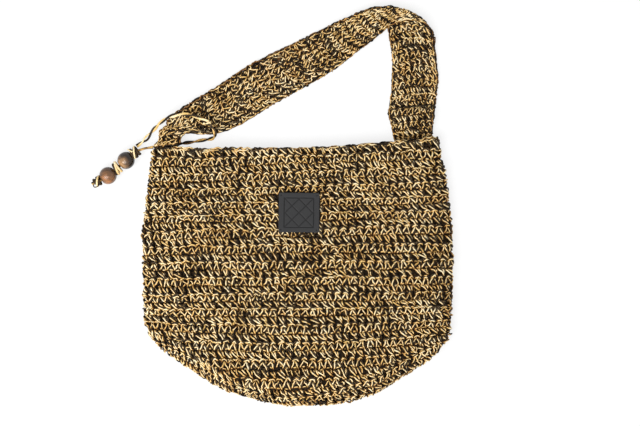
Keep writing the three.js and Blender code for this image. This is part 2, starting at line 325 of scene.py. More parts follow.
def through(points, places):
    """Points on a smooth curve through the given ones. Places run from 0 to 1, with equal
    steps from point to point."""
    known = np.array(points, float)
    known = np.vstack([2 * known[0] - known[1], known, 2 * known[-1] - known[-2]])
    along = np.clip(np.asarray(places, float) * (len(points) - 1), 0, len(points) - 1 - 1e-9)
    first = along.astype(int)
    share = (along - first)[:, None]
    a, b, c, d = (known[first + step] for step in range(4))
    before, here, after = (
        (((q - p) ** 2).sum(1) ** 0.25)[:, None] for p, q in ((a, b), (b, c), (c, d))
    )
    leave = ((b - a) / before - (c - a) / (before + here) + (c - b) / here) * here
    reach = ((c - b) / here - (d - b) / (here + after) + (d - c) / after) * here
    return (
        b
        + share * leave
        + share**2 * (3 * (c - b) - 2 * leave - reach)
        + share**3 * (2 * (b - c) + leave + reach)
    )


def unit(vectors):
    return vectors / np.maximum(np.linalg.norm(vectors, axis=-1, keepdims=True), 1e-12)


def evenly(points, step, bend=None):
    """The same line, with points about one step apart, and closer where it bends. Bend is
    the turn, in degrees, that takes one more point."""
    steps = np.diff(points, axis=0)
    share = np.linalg.norm(steps, axis=1) / step
    if bend:
        ways = unit(steps)
        turned = np.degrees(np.arccos(np.clip((ways[1:] * ways[:-1]).sum(1), -1, 1))) / bend
        share[1:] += turned / 2
        share[:-1] += turned / 2
    run = np.concatenate([[0], np.cumsum(share)])
    places = np.linspace(0, run[-1], max(int(round(run[-1])), 2) + 1)
    return np.stack([np.interp(places, run, column) for column in points.T], 1)


def run_along(points):
    """How far along a line, or along each column of a grid, its points lie."""
    steps = np.linalg.norm(np.diff(points, axis=0), axis=-1)
    return np.concatenate([np.zeros((1, *steps.shape[1:])), np.cumsum(steps, axis=0)])


def round_angles(sides):
    return 2 * np.pi * np.arange(sides) / sides


def outward(angle, side, up):
    """Directions out from a line, at angles round it."""
    return np.cos(angle)[:, None] * side + np.sin(angle)[:, None] * up


def oval_rings(line, broad, thick, width, thickness, sides):
    """A flat strand's ring of points at each point of a line."""
    angle = round_angles(sides)
    return (
        line[:, None]
        + broad[:, None] * np.cos(angle)[None, :, None] * np.reshape(width, (-1, 1, 1)) / 2
        + thick[:, None] * np.sin(angle)[None, :, None] * thickness / 2
    )


def keep_on_points(mesh, name, kind, values):
    """Stores a value or a vector for each point of a mesh."""
    layer = mesh.attributes.new(name, kind, "POINT")
    layer.data.foreach_set("vector" if kind == "FLOAT_VECTOR" else "value", values)


def skin(name, points, faces, materials, marks):
    """A mesh object of points in mm. A mark is the number of a face's material."""
    mesh = bpy.data.meshes.new(name)
    mesh.from_pydata((np.array(points) * MM).tolist(), [], faces)
    for item in materials:
        mesh.materials.append(item)
    mesh.polygons.foreach_set("material_index", marks)
    mesh.polygons.foreach_set("use_smooth", [True] * len(faces))
    return put_in_scene(name, mesh)


def fit(piece, node=None):
    """Fixes a finished piece to the part, and hides the solid it stands for."""
    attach(piece, "root")
    if node:
        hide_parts(node)
    return piece


class Build:
    """Collects faces, and then makes one mesh object of them."""

    def __init__(self):
        self.points = []
        self.faces = []
        self.marks = []
        self.data = {"run": [], "rim": [], "tone": [], "height": [], "facing": []}

    def tube(self, rings, mark=0, run=None, tone=0.5, closed=False):
        """A skin round rings of points, closed at both ends or joined end to end."""
        count, sides = rings.shape[:2]
        start = len(self.points)
        self.points += rings.reshape(-1, 3).tolist()
        run = np.zeros(count) if run is None else run
        self.data["run"] += np.repeat(run, sides).tolist()
        self.data["rim"] += np.tile(np.arange(sides) / sides, count).tolist()
        self.data["tone"] += np.repeat(np.broadcast_to(tone, count), sides).tolist()
        self.data["height"] += [TIE_PAINTED_SHADE_HEIGHT] * (count * sides)
        self.data["facing"] += [TIE_PAINTED_LIGHT_FACING] * (count * sides)
        for ring in range(count if closed else count - 1):
            low, high = start + ring * sides, start + (ring + 1) % count * sides
            for side in range(sides):
                after = (side + 1) % sides
                self.faces.append((low + side, low + after, high + after, high + side))
        if not closed:
            self.faces.append(tuple(range(start + sides - 1, start - 1, -1)))
            last = start + (count - 1) * sides
            self.faces.append(tuple(range(last, last + sides)))
        self.marks += [mark] * (len(self.faces) - len(self.marks))

    def strand(self, line, across, width, thickness, mark, tone=0.5):
        """A flat strand along a line. Across is its broad direction at each point."""
        tangent = unit(np.gradient(line, axis=0))
        across = unit(across - tangent * (across * tangent).sum(1)[:, None])
        thick = np.cross(tangent, across)
        rings = oval_rings(line, across, thick, width, thickness, STRAND_SIDES)
        self.tube(rings, mark, run_along(line) * MM, tone)

    def piece(self, name, materials):
        made = skin(name, self.points, self.faces, materials, self.marks)
        for key, values in self.data.items():
            keep_on_points(made.data, key, "FLOAT", values)
        return made


def pair_of_strands(build, line, turns, start, apart, gap, browned):
    """The gold and the black strand along a line, crossing over each other now and then.
    A gap is a share of the way, how far the strands part there, and over what share.
    The tie is darker from its start up to browned, a share of the way; on the long leg this is
    painted shadow of the strap."""
    tangent = unit(np.gradient(line, axis=0))
    side = unit(np.cross(tangent, (0, 0, 1)))
    up = np.cross(side, tangent)
    run = run_along(line)
    share = run / run[-1]
    waver = TWIST_WAVER[0] * np.sin(share * TWIST_WAVER[1])
    angle = (start + turns * share + waver)[:, None] * 2 * np.pi
    wide = np.full((len(line), 1), apart)
    for middle, much, over in gap:
        wide += much * np.exp(-(((share[:, None] - middle) / over) ** 2))
    for sign, mark in ((1, GOLD_STRAND), (-1, BLACK_STRAND)):
        swell = 1 + WIDTH_WAVER[0] * np.sin(share * WIDTH_WAVER[1] + sign)[:, None]
        rise = up * np.sin(angle) * STRAND_THICKNESS * PAIR_FLATNESS
        across = side + up * np.sin(angle * ROLLING[0] + sign) * ROLLING[1]
        tone = LEG_TONE + TONE_WAVER[0] * np.sin(share * TONE_WAVER[1] + sign * 2)
        build.strand(
            line + sign * (side * np.cos(angle) * wide + rise),
            across,
            STRAND_WIDTH * swell,
            STRAND_THICKNESS,
            mark,
            # Darker from the start: on the long leg, painted shadow of the strap.
            tone - DARKER_FROM_START * (share < browned),
        )


def tie_leg(name, points, hitches=(), **lay):
    """One leg, and the lay of its strands. A hitch is where along the leg a strand is wound
    round both, which yarn that is, and how it slants."""
    line = evenly(through(points, np.linspace(0, 1, 40 * len(points))), LEG_STEP)
    build = Build()
    pair_of_strands(build, line, **lay)
    for share, mark, slant in hitches:
        index = int(share * (len(line) - 1))
        tangent = unit(line[index + 1] - line[index - 1])
        side = unit(np.cross(tangent, (0, 0, 1)))
        angle = np.linspace(0, 2 * np.pi, HITCH_STEPS + 1)[:-1]
        out = outward(angle, side, np.cross(side, tangent))
        ring = line[index] + out * HITCH_RADIUS + tangent * (slant * np.cos(angle))[:, None]
        ring = np.vstack([ring, ring[:2]])
        across = np.tile(tangent, (len(ring), 1))
        build.strand(ring, across, HITCH_WIDTH, STRAND_THICKNESS, mark, HITCH_TONE)
    return build.piece(name, [gold_yarn, black_yarn]), line


short_leg, short_line = tie_leg(
    "tie_short_leg_yarn", SHORT_LEG, turns=1.5, start=0.1, apart=0.6, gap=(), browned=1.0
)
# The long leg is darker over its first third: painted shadow, where the strap shades it.
long_leg, long_line = tie_leg(
    "tie_long_leg_yarn",
    LONG_LEG,
    hitches=((0.405, BLACK_STRAND, 0.9), (0.425, GOLD_STRAND, -1.1)),
    turns=6.2,
    start=0.35,
    apart=0.95,
    gap=((0.93, 0.9, 0.035),),
    browned=0.33,
)

# The beads are turned wood with a hole along the tie, polished: the upper one goes from nearly
# black to a golden olive brown, the lower one is reddish brown with an orange side. Each is paler
# towards one side, partly its own tone and partly painted light, and darker away from it, partly
# painted shade.
BEAD_RINGS = 20
BEAD_SIDES = 48
BEAD_HOLE = 3.6
BEAD_LIP = 0.1
GRAIN_FINENESS = (70, 520, 520)
GRAIN_SLOPE = (0.3, 0.2)
GRAIN_BUMP, GRAIN_DEPTH = 0.15, 0.0003
WOOD_CLOUDS = 150.0
BY_GRAIN, BY_CLOUD = 1.1, 0.9
WOOD_SHINE, GRAIN_DULLER = 0.28, 0.16
BEADS = {
    "bead_upper": {
        "slot": "bead_wood_dark",
        "tones": ((0.012, 0.006, 0.002), (0.125, 0.066, 0.028), (0.60, 0.34, 0.15)),
        "pale_and_painted_light_side": (-0.55, -0.40, 0.73),
        "contrast": 1.35,
        "level": -0.52,
        "grain_turn": 0.35,
    },
    "bead_lower": {
        "slot": "bead_wood_red",
        "tones": ((0.028, 0.011, 0.004), (0.150, 0.070, 0.029), (0.46, 0.18, 0.058)),
        "pale_and_painted_light_side": (0.05, -0.45, 0.89),
        "contrast": 0.50,
        "level": 0.17,
        "grain_turn": 0.9,
    },
}


def axis_at(place):
    """The tie's direction at one of its points, and two directions across it."""
    nearest = np.linalg.norm(short_line - place, axis=1).argmin()
    tangent = unit(short_line[nearest + 2] - short_line[nearest - 2])
    side = unit(np.cross(tangent, (0, 0, 1)))
    return tangent, side, np.cross(tangent, side)


def wood_material(name, place, radius, tones, pale_and_painted_light_side, contrast, level, grain_turn):
    """Polished wood, paler towards one side of the bead, partly its own tone and partly painted
    light, with fine streaky grain.
    """
    made, graph, shader = material(
        name + "_polished", Specular_IOR_Level=0.3, Coat_Weight=0.4, Coat_Roughness=0.09
    )
    here = graph.here()
    moved = graph.add(
        "ShaderNodeMapping",
        {"Vector": here, "Rotation": (*GRAIN_SLOPE, grain_turn), "Scale": GRAIN_FINENESS},
    )
    grain = graph.noise(moved.outputs[0], 1.0, 4.0, 0.6)
    cloud = graph.noise(here, WOOD_CLOUDS)
    from_centre = graph.vector("SUBTRACT", here, tuple(x * MM for x in place))
    paler = Number(graph, graph.vector("DOT_PRODUCT", from_centre, pale_and_painted_light_side)) / (radius * MM)
    streaks = (grain - 0.5) * BY_GRAIN + (cloud - 0.5) * BY_CLOUD
    colour = graph.toned((paler * contrast + streaks + level).clamped(), tones)
    rough = WOOD_SHINE + grain * GRAIN_DULLER
    bump = graph.bump(grain, GRAIN_BUMP, GRAIN_DEPTH)
    join(graph, shader, Base_Color=colour, Roughness=rough, Normal=bump)
    return made


def bead(name, place, radius, half):
    """Half round outside, from hole edge to hole edge, and a plain bore inside."""
    tangent, side, up = axis_at(place)
    edge = math.asin(half / radius)
    outside = [
        (radius * math.sin(a), radius * math.cos(a))
        for a in np.linspace(-edge, edge, BEAD_RINGS)
    ]
    profile = outside + [(half - BEAD_LIP, BEAD_HOLE), (-half + BEAD_LIP, BEAD_HOLE)]
    across = outward(round_angles(BEAD_SIDES), side, up)
    build = Build()
    rings = [np.array(place) + tangent * along + out * across for along, out in profile]
    build.tube(np.array(rings), closed=True)
    looks = dict(BEADS[name])
    slot = looks.pop("slot")
    made = build.piece(name + "_wood", [wood_material(name, place, radius, **looks)])
    return fit(made, name)


# Each knot is the same yarn wound round the tie. A wrap has its yarn, its place along the
# knot and its slant (both in parts of half the knot), its width and how proud it stands,
# in mm, and from where to where round the tie it shows, in degrees.
KNOTS = {
    "knot_top": (
        (BLACK_STRAND, -0.75, 0.20, 2.8, 0.0, 0, 360),
        (BLACK_STRAND, -0.15, -0.35, 3.0, 0.2, 0, 360),
        (BLACK_STRAND, 0.45, 0.30, 3.0, 0.1, 0, 360),
        (BLACK_STRAND, 0.90, -0.15, 2.4, -0.3, 0, 360),
        (GOLD_STRAND, 0.05, -0.75, 1.6, 1.0, -190, 20),
        (GOLD_STRAND, 0.25, 0.95, 1.6, 1.1, -80, 40),
    ),
    "knot_middle": (
        (BLACK_STRAND, 0.55, -0.45, 2.4, 0.0, 0, 360),
        (GOLD_STRAND, 0.05, -0.60, 2.1, 0.5, 0, 360),
        (GOLD_STRAND, -0.50, -0.10, 2.5, 0.3, 0, 360),
    ),
    "knot_end": (
        (BLACK_STRAND, -0.65, -0.10, 2.4, 0.3, 0, 360),
        (BLACK_STRAND, 0.15, -0.30, 2.2, 0.0, 0, 360),
        (GOLD_STRAND, -0.15, -0.85, 1.8, 1.0, -200, 30),
        (BLACK_STRAND, 0.75, 0.20, 2.2, -0.4, 0, 360),
    ),
}
WRAP_THICKNESS = 1.5
WRAP_STEPS = 32
WRAP_RUN = 0.03
WRAP_TONE, NEXT_WRAP = 0.45, 0.15
# A knot's girth at its ends and how much fuller its middle is, and its uneven surface.
KNOT_ENDS, KNOT_FULLER = 0.74, 0.26
KNOT_UNEVEN = 0.18
WRAP_WAVER = 0.2
WRAP_WIDTH_WAVER = 0.12
# How deep the two ends of a wrap that goes only part of the way round are tucked in.
TUCK, TUCK_SHORTNESS = 1.1, 0.4
# The end knot's black yarn stands out once more as a small loop: along, aside and up.
END_LOOP_STEPS = 40
END_LOOP_SIZE = (1.7, 1.1)
END_LOOP_ACROSS = (0.3, 0.1, 1.0)
END_LOOP = (
    (-0.5, -3.0, 1.5),
    (2.0, -4.6, 2.4),
    (4.8, -4.2, 1.6),
    (5.6, -2.2, 0.4),
    (4.2, -0.9, 0.0),
    (1.5, -1.2, 1.0),
)


def wrap(build, middle, axes, radius, half, recipe, tone):
    """One turn of yarn round the tie, or the part of a turn that lies on the outside."""
    mark, where, slant, width, proud, first, last = recipe
    tangent, side, up = axes
    whole = last - first == 360
    angle = np.radians(np.linspace(first, last, WRAP_STEPS + 1))
    if whole:
        angle = angle[:-1]
    swell = KNOT_ENDS + KNOT_FULLER * math.cos(where * 0.9)
    reach = (radius - WRAP_THICKNESS * 0.6) * swell + proud
    reach = reach + KNOT_UNEVEN * np.sin(angle * 3 + where * 5)
    if not whole:
        shown = np.sin(np.linspace(0, np.pi, len(angle))) ** TUCK_SHORTNESS
        reach = reach - TUCK * (1 - shown)
    waver = WRAP_WAVER * np.sin(angle * 2 + where * 4)
    along = half * (where + slant * np.cos(angle)) + waver
    line = middle + tangent * along[:, None] + outward(angle, side, up) * reach[:, None]
    if not whole:
        across = np.tile(tangent, (len(line), 1))
        build.strand(line, across, width, STRAND_THICKNESS, mark, tone)
        return
    following = unit(np.roll(line, -1, 0) - np.roll(line, 1, 0))
    broad = unit(tangent - following * (following @ tangent)[:, None])
    thick = np.cross(following, broad)
    wide = width * (1 + WRAP_WIDTH_WAVER * np.sin(angle * 2 + where * 7))
    rings = oval_rings(line, broad, thick, wide, WRAP_THICKNESS, STRAND_SIDES)
    build.tube(rings, mark, np.linspace(0, WRAP_RUN, len(line)), tone, closed=True)


def knot(name, place, radius, half):
    axes = axis_at(place)
    build = Build()
    for number, recipe in enumerate(KNOTS[name]):
        tone = WRAP_TONE + NEXT_WRAP * number
        wrap(build, np.array(place), axes, radius, half, recipe, tone)
    if name == "knot_end":
        tangent, side, up = axes
        loop = through(np.array(END_LOOP), np.linspace(0, 1, END_LOOP_STEPS))
        line = place + loop[:, :1] * tangent + loop[:, 1:2] * side - loop[:, 2:] * up
        across = np.tile(END_LOOP_ACROSS, (END_LOOP_STEPS, 1))
        build.strand(line, across, *END_LOOP_SIZE, BLACK_STRAND)
    return fit(build.piece(name + "_yarn", [gold_yarn, black_yarn]), name)


def free_leg(leg, node, points, line, **more):
    """A leg of the tie, fixed to the part, with its solid hidden."""
    fit(leg, node)
    [x * MM for x in points[0]]
    (line * MM).tolist()


charm = []
for name, *sizes in CHARM:
    charm.append((bead if name.startswith("bead") else knot)(name, *sizes))
free_leg(short_leg, "tie_short_leg", SHORT_LEG, short_line, with_pieces=charm)
free_leg(long_leg, "tie_long_leg", LONG_LEG, long_line)

# ---------------------------------------------------------------- bag
# One crocheted cloth: a round of stitches that goes up from an oval base. It lies flat on
# its back, so the cloth is folded at both sides, and the base bulges out at the bottom.
# A thin dark cloth carries the shape, and the loops of yarn stand on it. Its dark outer face is
# painted shade: the two yarns' own colours as they look deep between the loops.
HALF_WIDTH = 153.0
SHOULDER = -128.0
RIM_CROWN = 18.0
RIM_SIDE = 15.0
FOLD_HEIGHT = 8.0
FRONT_TURN = 20.0
BACK_TURN = 11.0
RISE_POWER = 1.6
BACK_DROP = 4.0
RIPPLE = 0.9
RIPPLE_WIDTH = 34.0
RIPPLE_HEIGHT = 45.0
BASE_ARC = math.radians(65)
RIM = ((-1, 55), (-0.81, 58.5), (0.03, 57), (0.57, 62), (1, 68))
SIDES = (
    (-128, -152, 153),
    (-105, -155, 154.5),
    (-72, -155.9, 156),
    (-28, -156, 155),
    (-6, -154, 153),
    (30, -150, 148.5),
    (55, -146, 143),
    (68, -145, 142),
)
BASE = (
    (-152, -128, 17, -131.5),
    (-132, -135, 23, -149.5),
    (-104, -148, 31, -167),
    (-77, -167, 38, -183),
    (-50, -177, 42, -190.5),
    (-25, -183, 44, -197),
    (3, -184, 45, -199.3),
    (30, -179.5, 45, -199),
    (55, -171, 43, -195),
    (80, -164.5, 39, -187),
    (104, -150, 32, -172.5),
    (132, -137, 23, -155.5),
    (153, -128, 17, -133),
)
RIDGE_Y, RIDGE_Z, BULGE_Y = 1, 2, 3
LEFT, RIGHT = 1, 2


def smooth(rows, column, place):
    """The named column of a short table, read between its rows along a smooth curve."""
    table = np.array(rows, float)
    key, value = table[:, 0], table[:, column]
    slope = np.empty(len(key))
    slope[1:-1] = (value[2:] - value[:-2]) / (key[2:] - key[:-2])
    slope[0] = (value[1] - value[0]) / (key[1] - key[0])
    slope[-1] = (value[-1] - value[-2]) / (key[-1] - key[-2])
    place = np.asarray(place, float)
    low = np.clip(np.searchsorted(key, place, side="left") - 1, 0, len(key) - 2)
    width = key[low + 1] - key[low]
    share = np.clip((place - key[low]) / width, 0, 1)
    rise = share * share * (3 - 2 * share)
    return (
        value[low] * (1 - rise)
        + value[low + 1] * rise
        + width * (slope[low] * share * (1 - share) ** 2)
        - width * (slope[low + 1] * share * share * (1 - share))
    )


def panel(across, down, front, depth):
    """A point on the front or back, a depth inside the cloth's outer face."""
    across, down = np.broadcast_arrays(np.asarray(across, float), np.asarray(down, float))
    rim_y = smooth(RIM, 1, across)
    ridge_y = smooth(BASE, RIDGE_Y, across * HALF_WIDTH) + depth
    side_y = np.maximum(rim_y + (ridge_y - rim_y) * down, SHOULDER)
    left = smooth(SIDES, LEFT, side_y) + depth
    right = smooth(SIDES, RIGHT, side_y) - depth
    x = left + (right - left) * (across + 1) / 2
    turn = FRONT_TURN if front else BACK_TURN
    inward = 1 - np.clip(np.minimum(x - left, right - x) / turn, 0, 1)
    flat = np.sqrt(np.maximum(1 - inward**2, 0))
    top = rim_y if front else rim_y - BACK_DROP * flat
    y = top + (ridge_y - top) * down
    if not front:
        return np.stack([x, y, FOLD_HEIGHT - (FOLD_HEIGHT - depth) * flat], -1)
    rim_z = RIM_SIDE + (RIM_CROWN - RIM_SIDE) * (1 - across**2)
    rise = (smooth(BASE, RIDGE_Z, across * HALF_WIDTH) - rim_z) * down**RISE_POWER
    wave = RIPPLE * np.sin(x / RIPPLE_WIDTH) * np.sin(y / RIPPLE_HEIGHT + 1)
    z = FOLD_HEIGHT + (rim_z + rise + wave - depth - FOLD_HEIGHT) * flat
    return np.stack([x, y, z], -1)


def base(across, around, depth):
    """A point on the base. Around is -1 at the front ridge and 1 at the back one."""
    across, around = np.broadcast_arrays(np.asarray(across, float), np.asarray(around, float))
    ends = [panel(across, 1.0, front, depth) for front in (True, False)]
    angle = around * BASE_ARC
    share = ((1 + np.sin(angle) / math.sin(BASE_ARC)) / 2)[..., None]
    point = ends[0] * (1 - share) + ends[1] * share
    bulge = smooth(BASE, BULGE_Y, across * HALF_WIDTH)
    bulge = bulge - smooth(BASE, RIDGE_Y, across * HALF_WIDTH)
    swell = (np.cos(angle) - math.cos(BASE_ARC)) / (1 - math.cos(BASE_ARC))
    point[..., 1] += bulge * swell
    return point


LOOPED_FROM = 0.013
BACKING_OUT = 2.6
BACKING_IN = 3.3
BACKING_COLUMNS = 64
BACKING_ROWS = 40
BACKING_BASE_ROWS = 12
# How fine the flecks and the drift are, and how deep the grain of the cloth is.
FLECKS = 420.0
GROUND_DRIFTS = 40.0
CLOTH_DEPTH = 0.001
PAINTED_SHADE_GROUND_TONES = ((0.008, 0.004, 0.001), (0.075, 0.045, 0.015))
BY_FLECK, BY_GROUND_DRIFT, GROUND_TAKEN_OFF = 3.0, 0.6, 0.25
GROUND_BUMP = 0.5
# The ridges on the cloth's inner face: how close they lie, downward and aslant, and how
# far each of the two wanders.
RIDGES = 850.0
SLANTED_RIDGES = (785.0, 700.0)
RIDGE_WANDER = 130.0
WANDER_DOWN, WANDER_ASLANT = 2.0, 3.0
LINING_TONES = ((0.022, 0.017, 0.012), (0.62, 0.42, 0.18))
BY_RIDGE, BY_WANDER, LINING_TAKEN_OFF = 0.9, 1.4, 0.45
LINING_BUMP = 0.8


def places_across(count, reach=1.0):
    """Places from one side of the bag to the other, closer together near the folds."""
    return np.sin((np.linspace(0, 1, count + 1) * 2 - 1) * math.pi / 2 * reach)


def bag_layer(depth):
    """Rows of points down the front, round the base and up the back."""
    across = places_across(BACKING_COLUMNS)
    down = np.linspace(LOOPED_FROM, 1, BACKING_ROWS + 1)
    around = np.linspace(-1, 1, BACKING_BASE_ROWS + 1)[1:-1]
    rows = [panel(across, place, True, depth) for place in down]
    rows += [base(across, turn, depth) for turn in around]
    rows += [panel(across, place, False, depth) for place in down[::-1]]
    return np.array(rows)


def quads(grid):
    """The faces between the neighbouring points of a grid of point numbers."""
    corners = [grid[:-1, :-1], grid[1:, :-1], grid[1:, 1:], grid[:-1, 1:]]
    return np.stack(corners, -1).reshape(-1, 4)


def shell(name, outer, inner, materials):
    """A thin closed cloth between two layers, with its sides shut."""
    rows, columns = outer.shape[:2]
    points = np.concatenate([outer.reshape(-1, 3), inner.reshape(-1, 3)])
    count = rows * columns
    grid = np.arange(count).reshape(rows, columns)
    outside = quads(grid)
    faces = outside.tolist() + (outside[:, ::-1] + count).tolist()
    marks = [0] * len(outside) + [len(materials) - 1] * len(outside)
    first, last = grid[0], grid[-1]
    for edge, flip in ((first, False), (last, True), (grid[:, 0], True), (grid[:, -1], False)):
        for a, b in zip(edge[:-1], edge[1:]):
            quad = (a, b, b + count, a + count)
            faces.append(quad[::-1] if flip else quad)
            marks.append(0)
    return skin(name, points, faces, materials, marks)


def tidy_mesh(piece, gap):
    """Joins points that lie together, drops faces with no area and faces all outward."""
    work = bmesh.new()
    work.from_mesh(piece.data)
    bmesh.ops.remove_doubles(work, verts=work.verts, dist=gap)
    bmesh.ops.dissolve_degenerate(work, edges=work.edges, dist=gap)
    bmesh.ops.recalc_face_normals(work, faces=work.faces)
    work.to_mesh(piece.data)
    work.free()


def ground_material(name):
    """What shows between the loops: the same two yarns, their own colours under painted shade, as
    dark rows with a few brown and golden flecks."""
    made, graph, shader = material(name, Specular_IOR_Level=0.15, Roughness=0.8)
    place = graph.here()
    fleck = graph.noise(place, FLECKS)
    drift = graph.noise(place, GROUND_DRIFTS, 1.0)
    light = (fleck - 0.5) * BY_FLECK + drift * BY_GROUND_DRIFT - GROUND_TAKEN_OFF
    colour = graph.mixed(light.clamped(), *PAINTED_SHADE_GROUND_TONES)
    bump = graph.bump(fleck, GROUND_BUMP, CLOTH_DEPTH)
    join(graph, shader, Base_Color=colour, Normal=bump)
    return made


def lining_material(name):
    """The cloth's inner face, where the rows show as low ridges of both yarns."""
    made, graph, shader = material(name, Specular_IOR_Level=0.25, Roughness=0.7)
    place = graph.here()
    parts = graph.add("ShaderNodeSeparateXYZ", {0: place})
    x, y = Number(graph, parts.outputs[0]), Number(graph, parts.outputs[1])
    wander = graph.noise(place, RIDGE_WANDER, 1.0)
    rows = (y * RIDGES + wander * WANDER_DOWN).wave()
    aslant = x * SLANTED_RIDGES[0] + y * SLANTED_RIDGES[1]
    slant = (aslant + wander * WANDER_ASLANT).wave()
    light = rows * slant * BY_RIDGE + wander * BY_WANDER - LINING_TAKEN_OFF
    colour = graph.mixed(light.clamped(), *LINING_TONES)
    bump = graph.bump(rows + slant, LINING_BUMP, CLOTH_DEPTH)
    join(graph, shader, Base_Color=colour, Normal=bump)
    return made


# The cloth's outer face is painted shade between the loops, and its inner face is the lining.
shaded_ground = ground_material("cloth_ground")
lining = lining_material("cloth_lining")
bag_cloth = shell(
    "bag_cloth", bag_layer(BACKING_OUT), bag_layer(BACKING_IN), [shaded_ground, lining]
)
tidy_mesh(bag_cloth, gap=1e-5)

# The loops. Three stitches make all the cloth: a peak that stands like a tent under a
# cap, a slant that leans from upper left to lower right, and a chain link for the edges.
# Each is a few strokes of yarn whose ends tuck under their neighbours. A stroke's points
# are across and up, in parts of a stitch and of a row, and out of the cloth, in mm.
PEAK = {
    "cap": (
        (0.06, 0.72, -1.4),
        (0.13, 0.88, 0.8),
        (0.28, 1.02, 1.5),
        (0.50, 1.08, 1.6),
        (0.72, 1.02, 1.5),
        (0.87, 0.88, 0.8),
        (0.94, 0.72, -1.4),
    ),
    "left_leg": (
        (0.50, 0.92, -1.4),
        (0.44, 0.76, 0.8),
        (0.33, 0.53, 1.4),
        (0.20, 0.27, 1.3),
        (0.09, 0.07, 0.8),
        (0.01, -0.08, -1.4),
    ),
    "right_leg": (
        (0.52, 0.92, -1.4),
        (0.58, 0.76, 0.8),
        (0.69, 0.53, 1.4),
        (0.81, 0.27, 1.3),
        (0.92, 0.07, 0.8),
        (1.00, -0.08, -1.4),
    ),
    "tick": ((0.24, 0.02, -1.1), (0.38, 0.10, 0.6), (0.62, 0.12, 0.6), (0.76, 0.02, -1.1)),
}
SLANT = {
    "long": (
        (-0.12, 0.96, -1.4),
        (-0.02, 0.86, 0.9),
        (0.15, 0.68, 1.4),
        (0.34, 0.46, 1.5),
        (0.53, 0.26, 1.3),
        (0.70, 0.12, 0.7),
        (0.82, 0.00, -1.4),
    ),
    "short": (
        (0.47, 0.98, -1.4),
        (0.51, 0.86, 0.8),
        (0.57, 0.69, 1.3),
        (0.64, 0.50, 1.1),
        (0.72, 0.35, 0.2),
        (0.80, 0.24, -1.4),
    ),
    "bar": ((0.02, 0.12, -1.1), (0.14, 0.04, 0.4), (0.34, 0.02, 0.5), (0.50, 0.10, -1.0)),
    "tick": ((0.26, 0.98, -1.1), (0.36, 0.85, 0.4), (0.46, 0.70, 0.4), (0.50, 0.54, -1.1)),
}
CHAIN = {
    "link": (
        (-0.35, 0.50, 0.1),
        (0.0, 0.44, 0.7),
        (0.5, 0.58, 0.9),
        (1.0, 0.44, 0.7),
        (1.35, 0.50, 0.1),
    )
}
STITCH = 8.0
ROW_PITCH = 7.4
ROUND = 78
# The flat map of places, counted in stitches and rows: its first corner and its width.
FIRST_PLACE = (-30.0, -10.0)
PLACES_WIDE = 128.0
# How a stroke is stepped: one step in mm, and the turn in degrees that adds a point.
FINE = (2.9, 122.0)
PLAIN = (4.0, 180.0)
# How far a stroke's points stray from one way of making a stitch to the next.
STRAY = (0.025, 0.025, 0.15)
LEAST_STRAY = 0.2
WAYS_MADE = {"peak": (PEAK, 4), "slant": (SLANT, 4), "chain": (CHAIN, 1)}
KIND_NUMBERS = {}
WAYS = 0
for kind, (_, ways) in WAYS_MADE.items():
    KIND_NUMBERS[kind] = range(WAYS, WAYS + ways)
    WAYS += ways
chance = np.random.default_rng(11)


def stitch_path(name, strokes, pace, much):
    """The bare lines of one stitch, as it comes out one time."""
    points, edges, marks = [], [], []
    for number, stroke in enumerate(strokes.values()):
        shift = chance.normal(0, STRAY, (len(stroke), 3)) * much
        line = (np.array(stroke) + shift) * (STITCH, ROW_PITCH, 1.0)
        line = evenly(through(line, np.linspace(0, 1, 10 * len(stroke))), *pace)
        line = line / (STITCH, -ROW_PITCH, 1.0) + (-0.5, 0.5, 0.0)
        first = len(points)
        points += line.tolist()
        edges += [(first + i, first + i + 1) for i in range(len(line) - 1)]
        marks += [float(number)] * len(line)
    mesh = bpy.data.meshes.new(name)
    mesh.from_pydata(points, edges, [])
    keep_on_points(mesh, "stroke", "FLOAT", marks)
    return put_in_scene(name, mesh)


def stitch_paths(pace):
    return [
        stitch_path(kind, strokes, pace, min(way, 1) + LEAST_STRAY)
        for kind, (strokes, ways) in WAYS_MADE.items()
        for way in range(ways)
    ]


paths = {"fine": stitch_paths(FINE), "plain": stitch_paths(PLAIN)}


def guide(name, grids):
    """A hidden cloth that says where each stitch and row lies. Each grid holds its points,
    its directions outward, and its places counted in stitches and rows."""
    points, outs, places, faces = [], [], [], []
    for grid, out, place in grids:
        rows, columns = grid.shape[:2]
        numbers = np.arange(rows * columns).reshape(rows, columns) + len(points)
        faces += quads(numbers).tolist()
        points += (grid.reshape(-1, 3) * MM).tolist()
        outs += out.reshape(-1, 3).tolist()
        places += ((place.reshape(-1, 2) - FIRST_PLACE) / PLACES_WIDE).tolist()
    mesh = bpy.data.meshes.new(name)
    mesh.from_pydata(points, [], faces)
    layer = mesh.uv_layers.new(name="weave")
    corners = np.empty(len(mesh.loops), int)
    mesh.loops.foreach_get("vertex_index", corners)
    layer.uv.foreach_set("vector", np.array(places)[corners].ravel())
    keep_on_points(mesh, "outward", "FLOAT_VECTOR", np.array(outs).ravel())
    return put_in_scene(name, mesh)


# How far apart in the noise two seeds lie, and two strokes of one stitch.
SEED_STEP = 7.3
STROKE_STEP = 0.9
# How quickly the yarn wanders: the cloth as a whole, a loop, and one strand of the pair.
SLOW, QUICK, SINGLE = 0.19, 1.7, 2.3
# How far a loop wanders out of the cloth, and how often and how long the pair leans over.
RISING = 1.1
LEANING, LEANING_LONG = 0.55, (0.55, 1.6, 1.0)
NO_LIMIT = -9.0
# A loop's height in the cloth, as its material reads it to paint shade on loops that lie deep: so
# much to a mm, from this.
PAINTED_SHADE_HEIGHT_SCALE, PAINTED_SHADE_HEIGHT_FROM = 0.4, 0.4
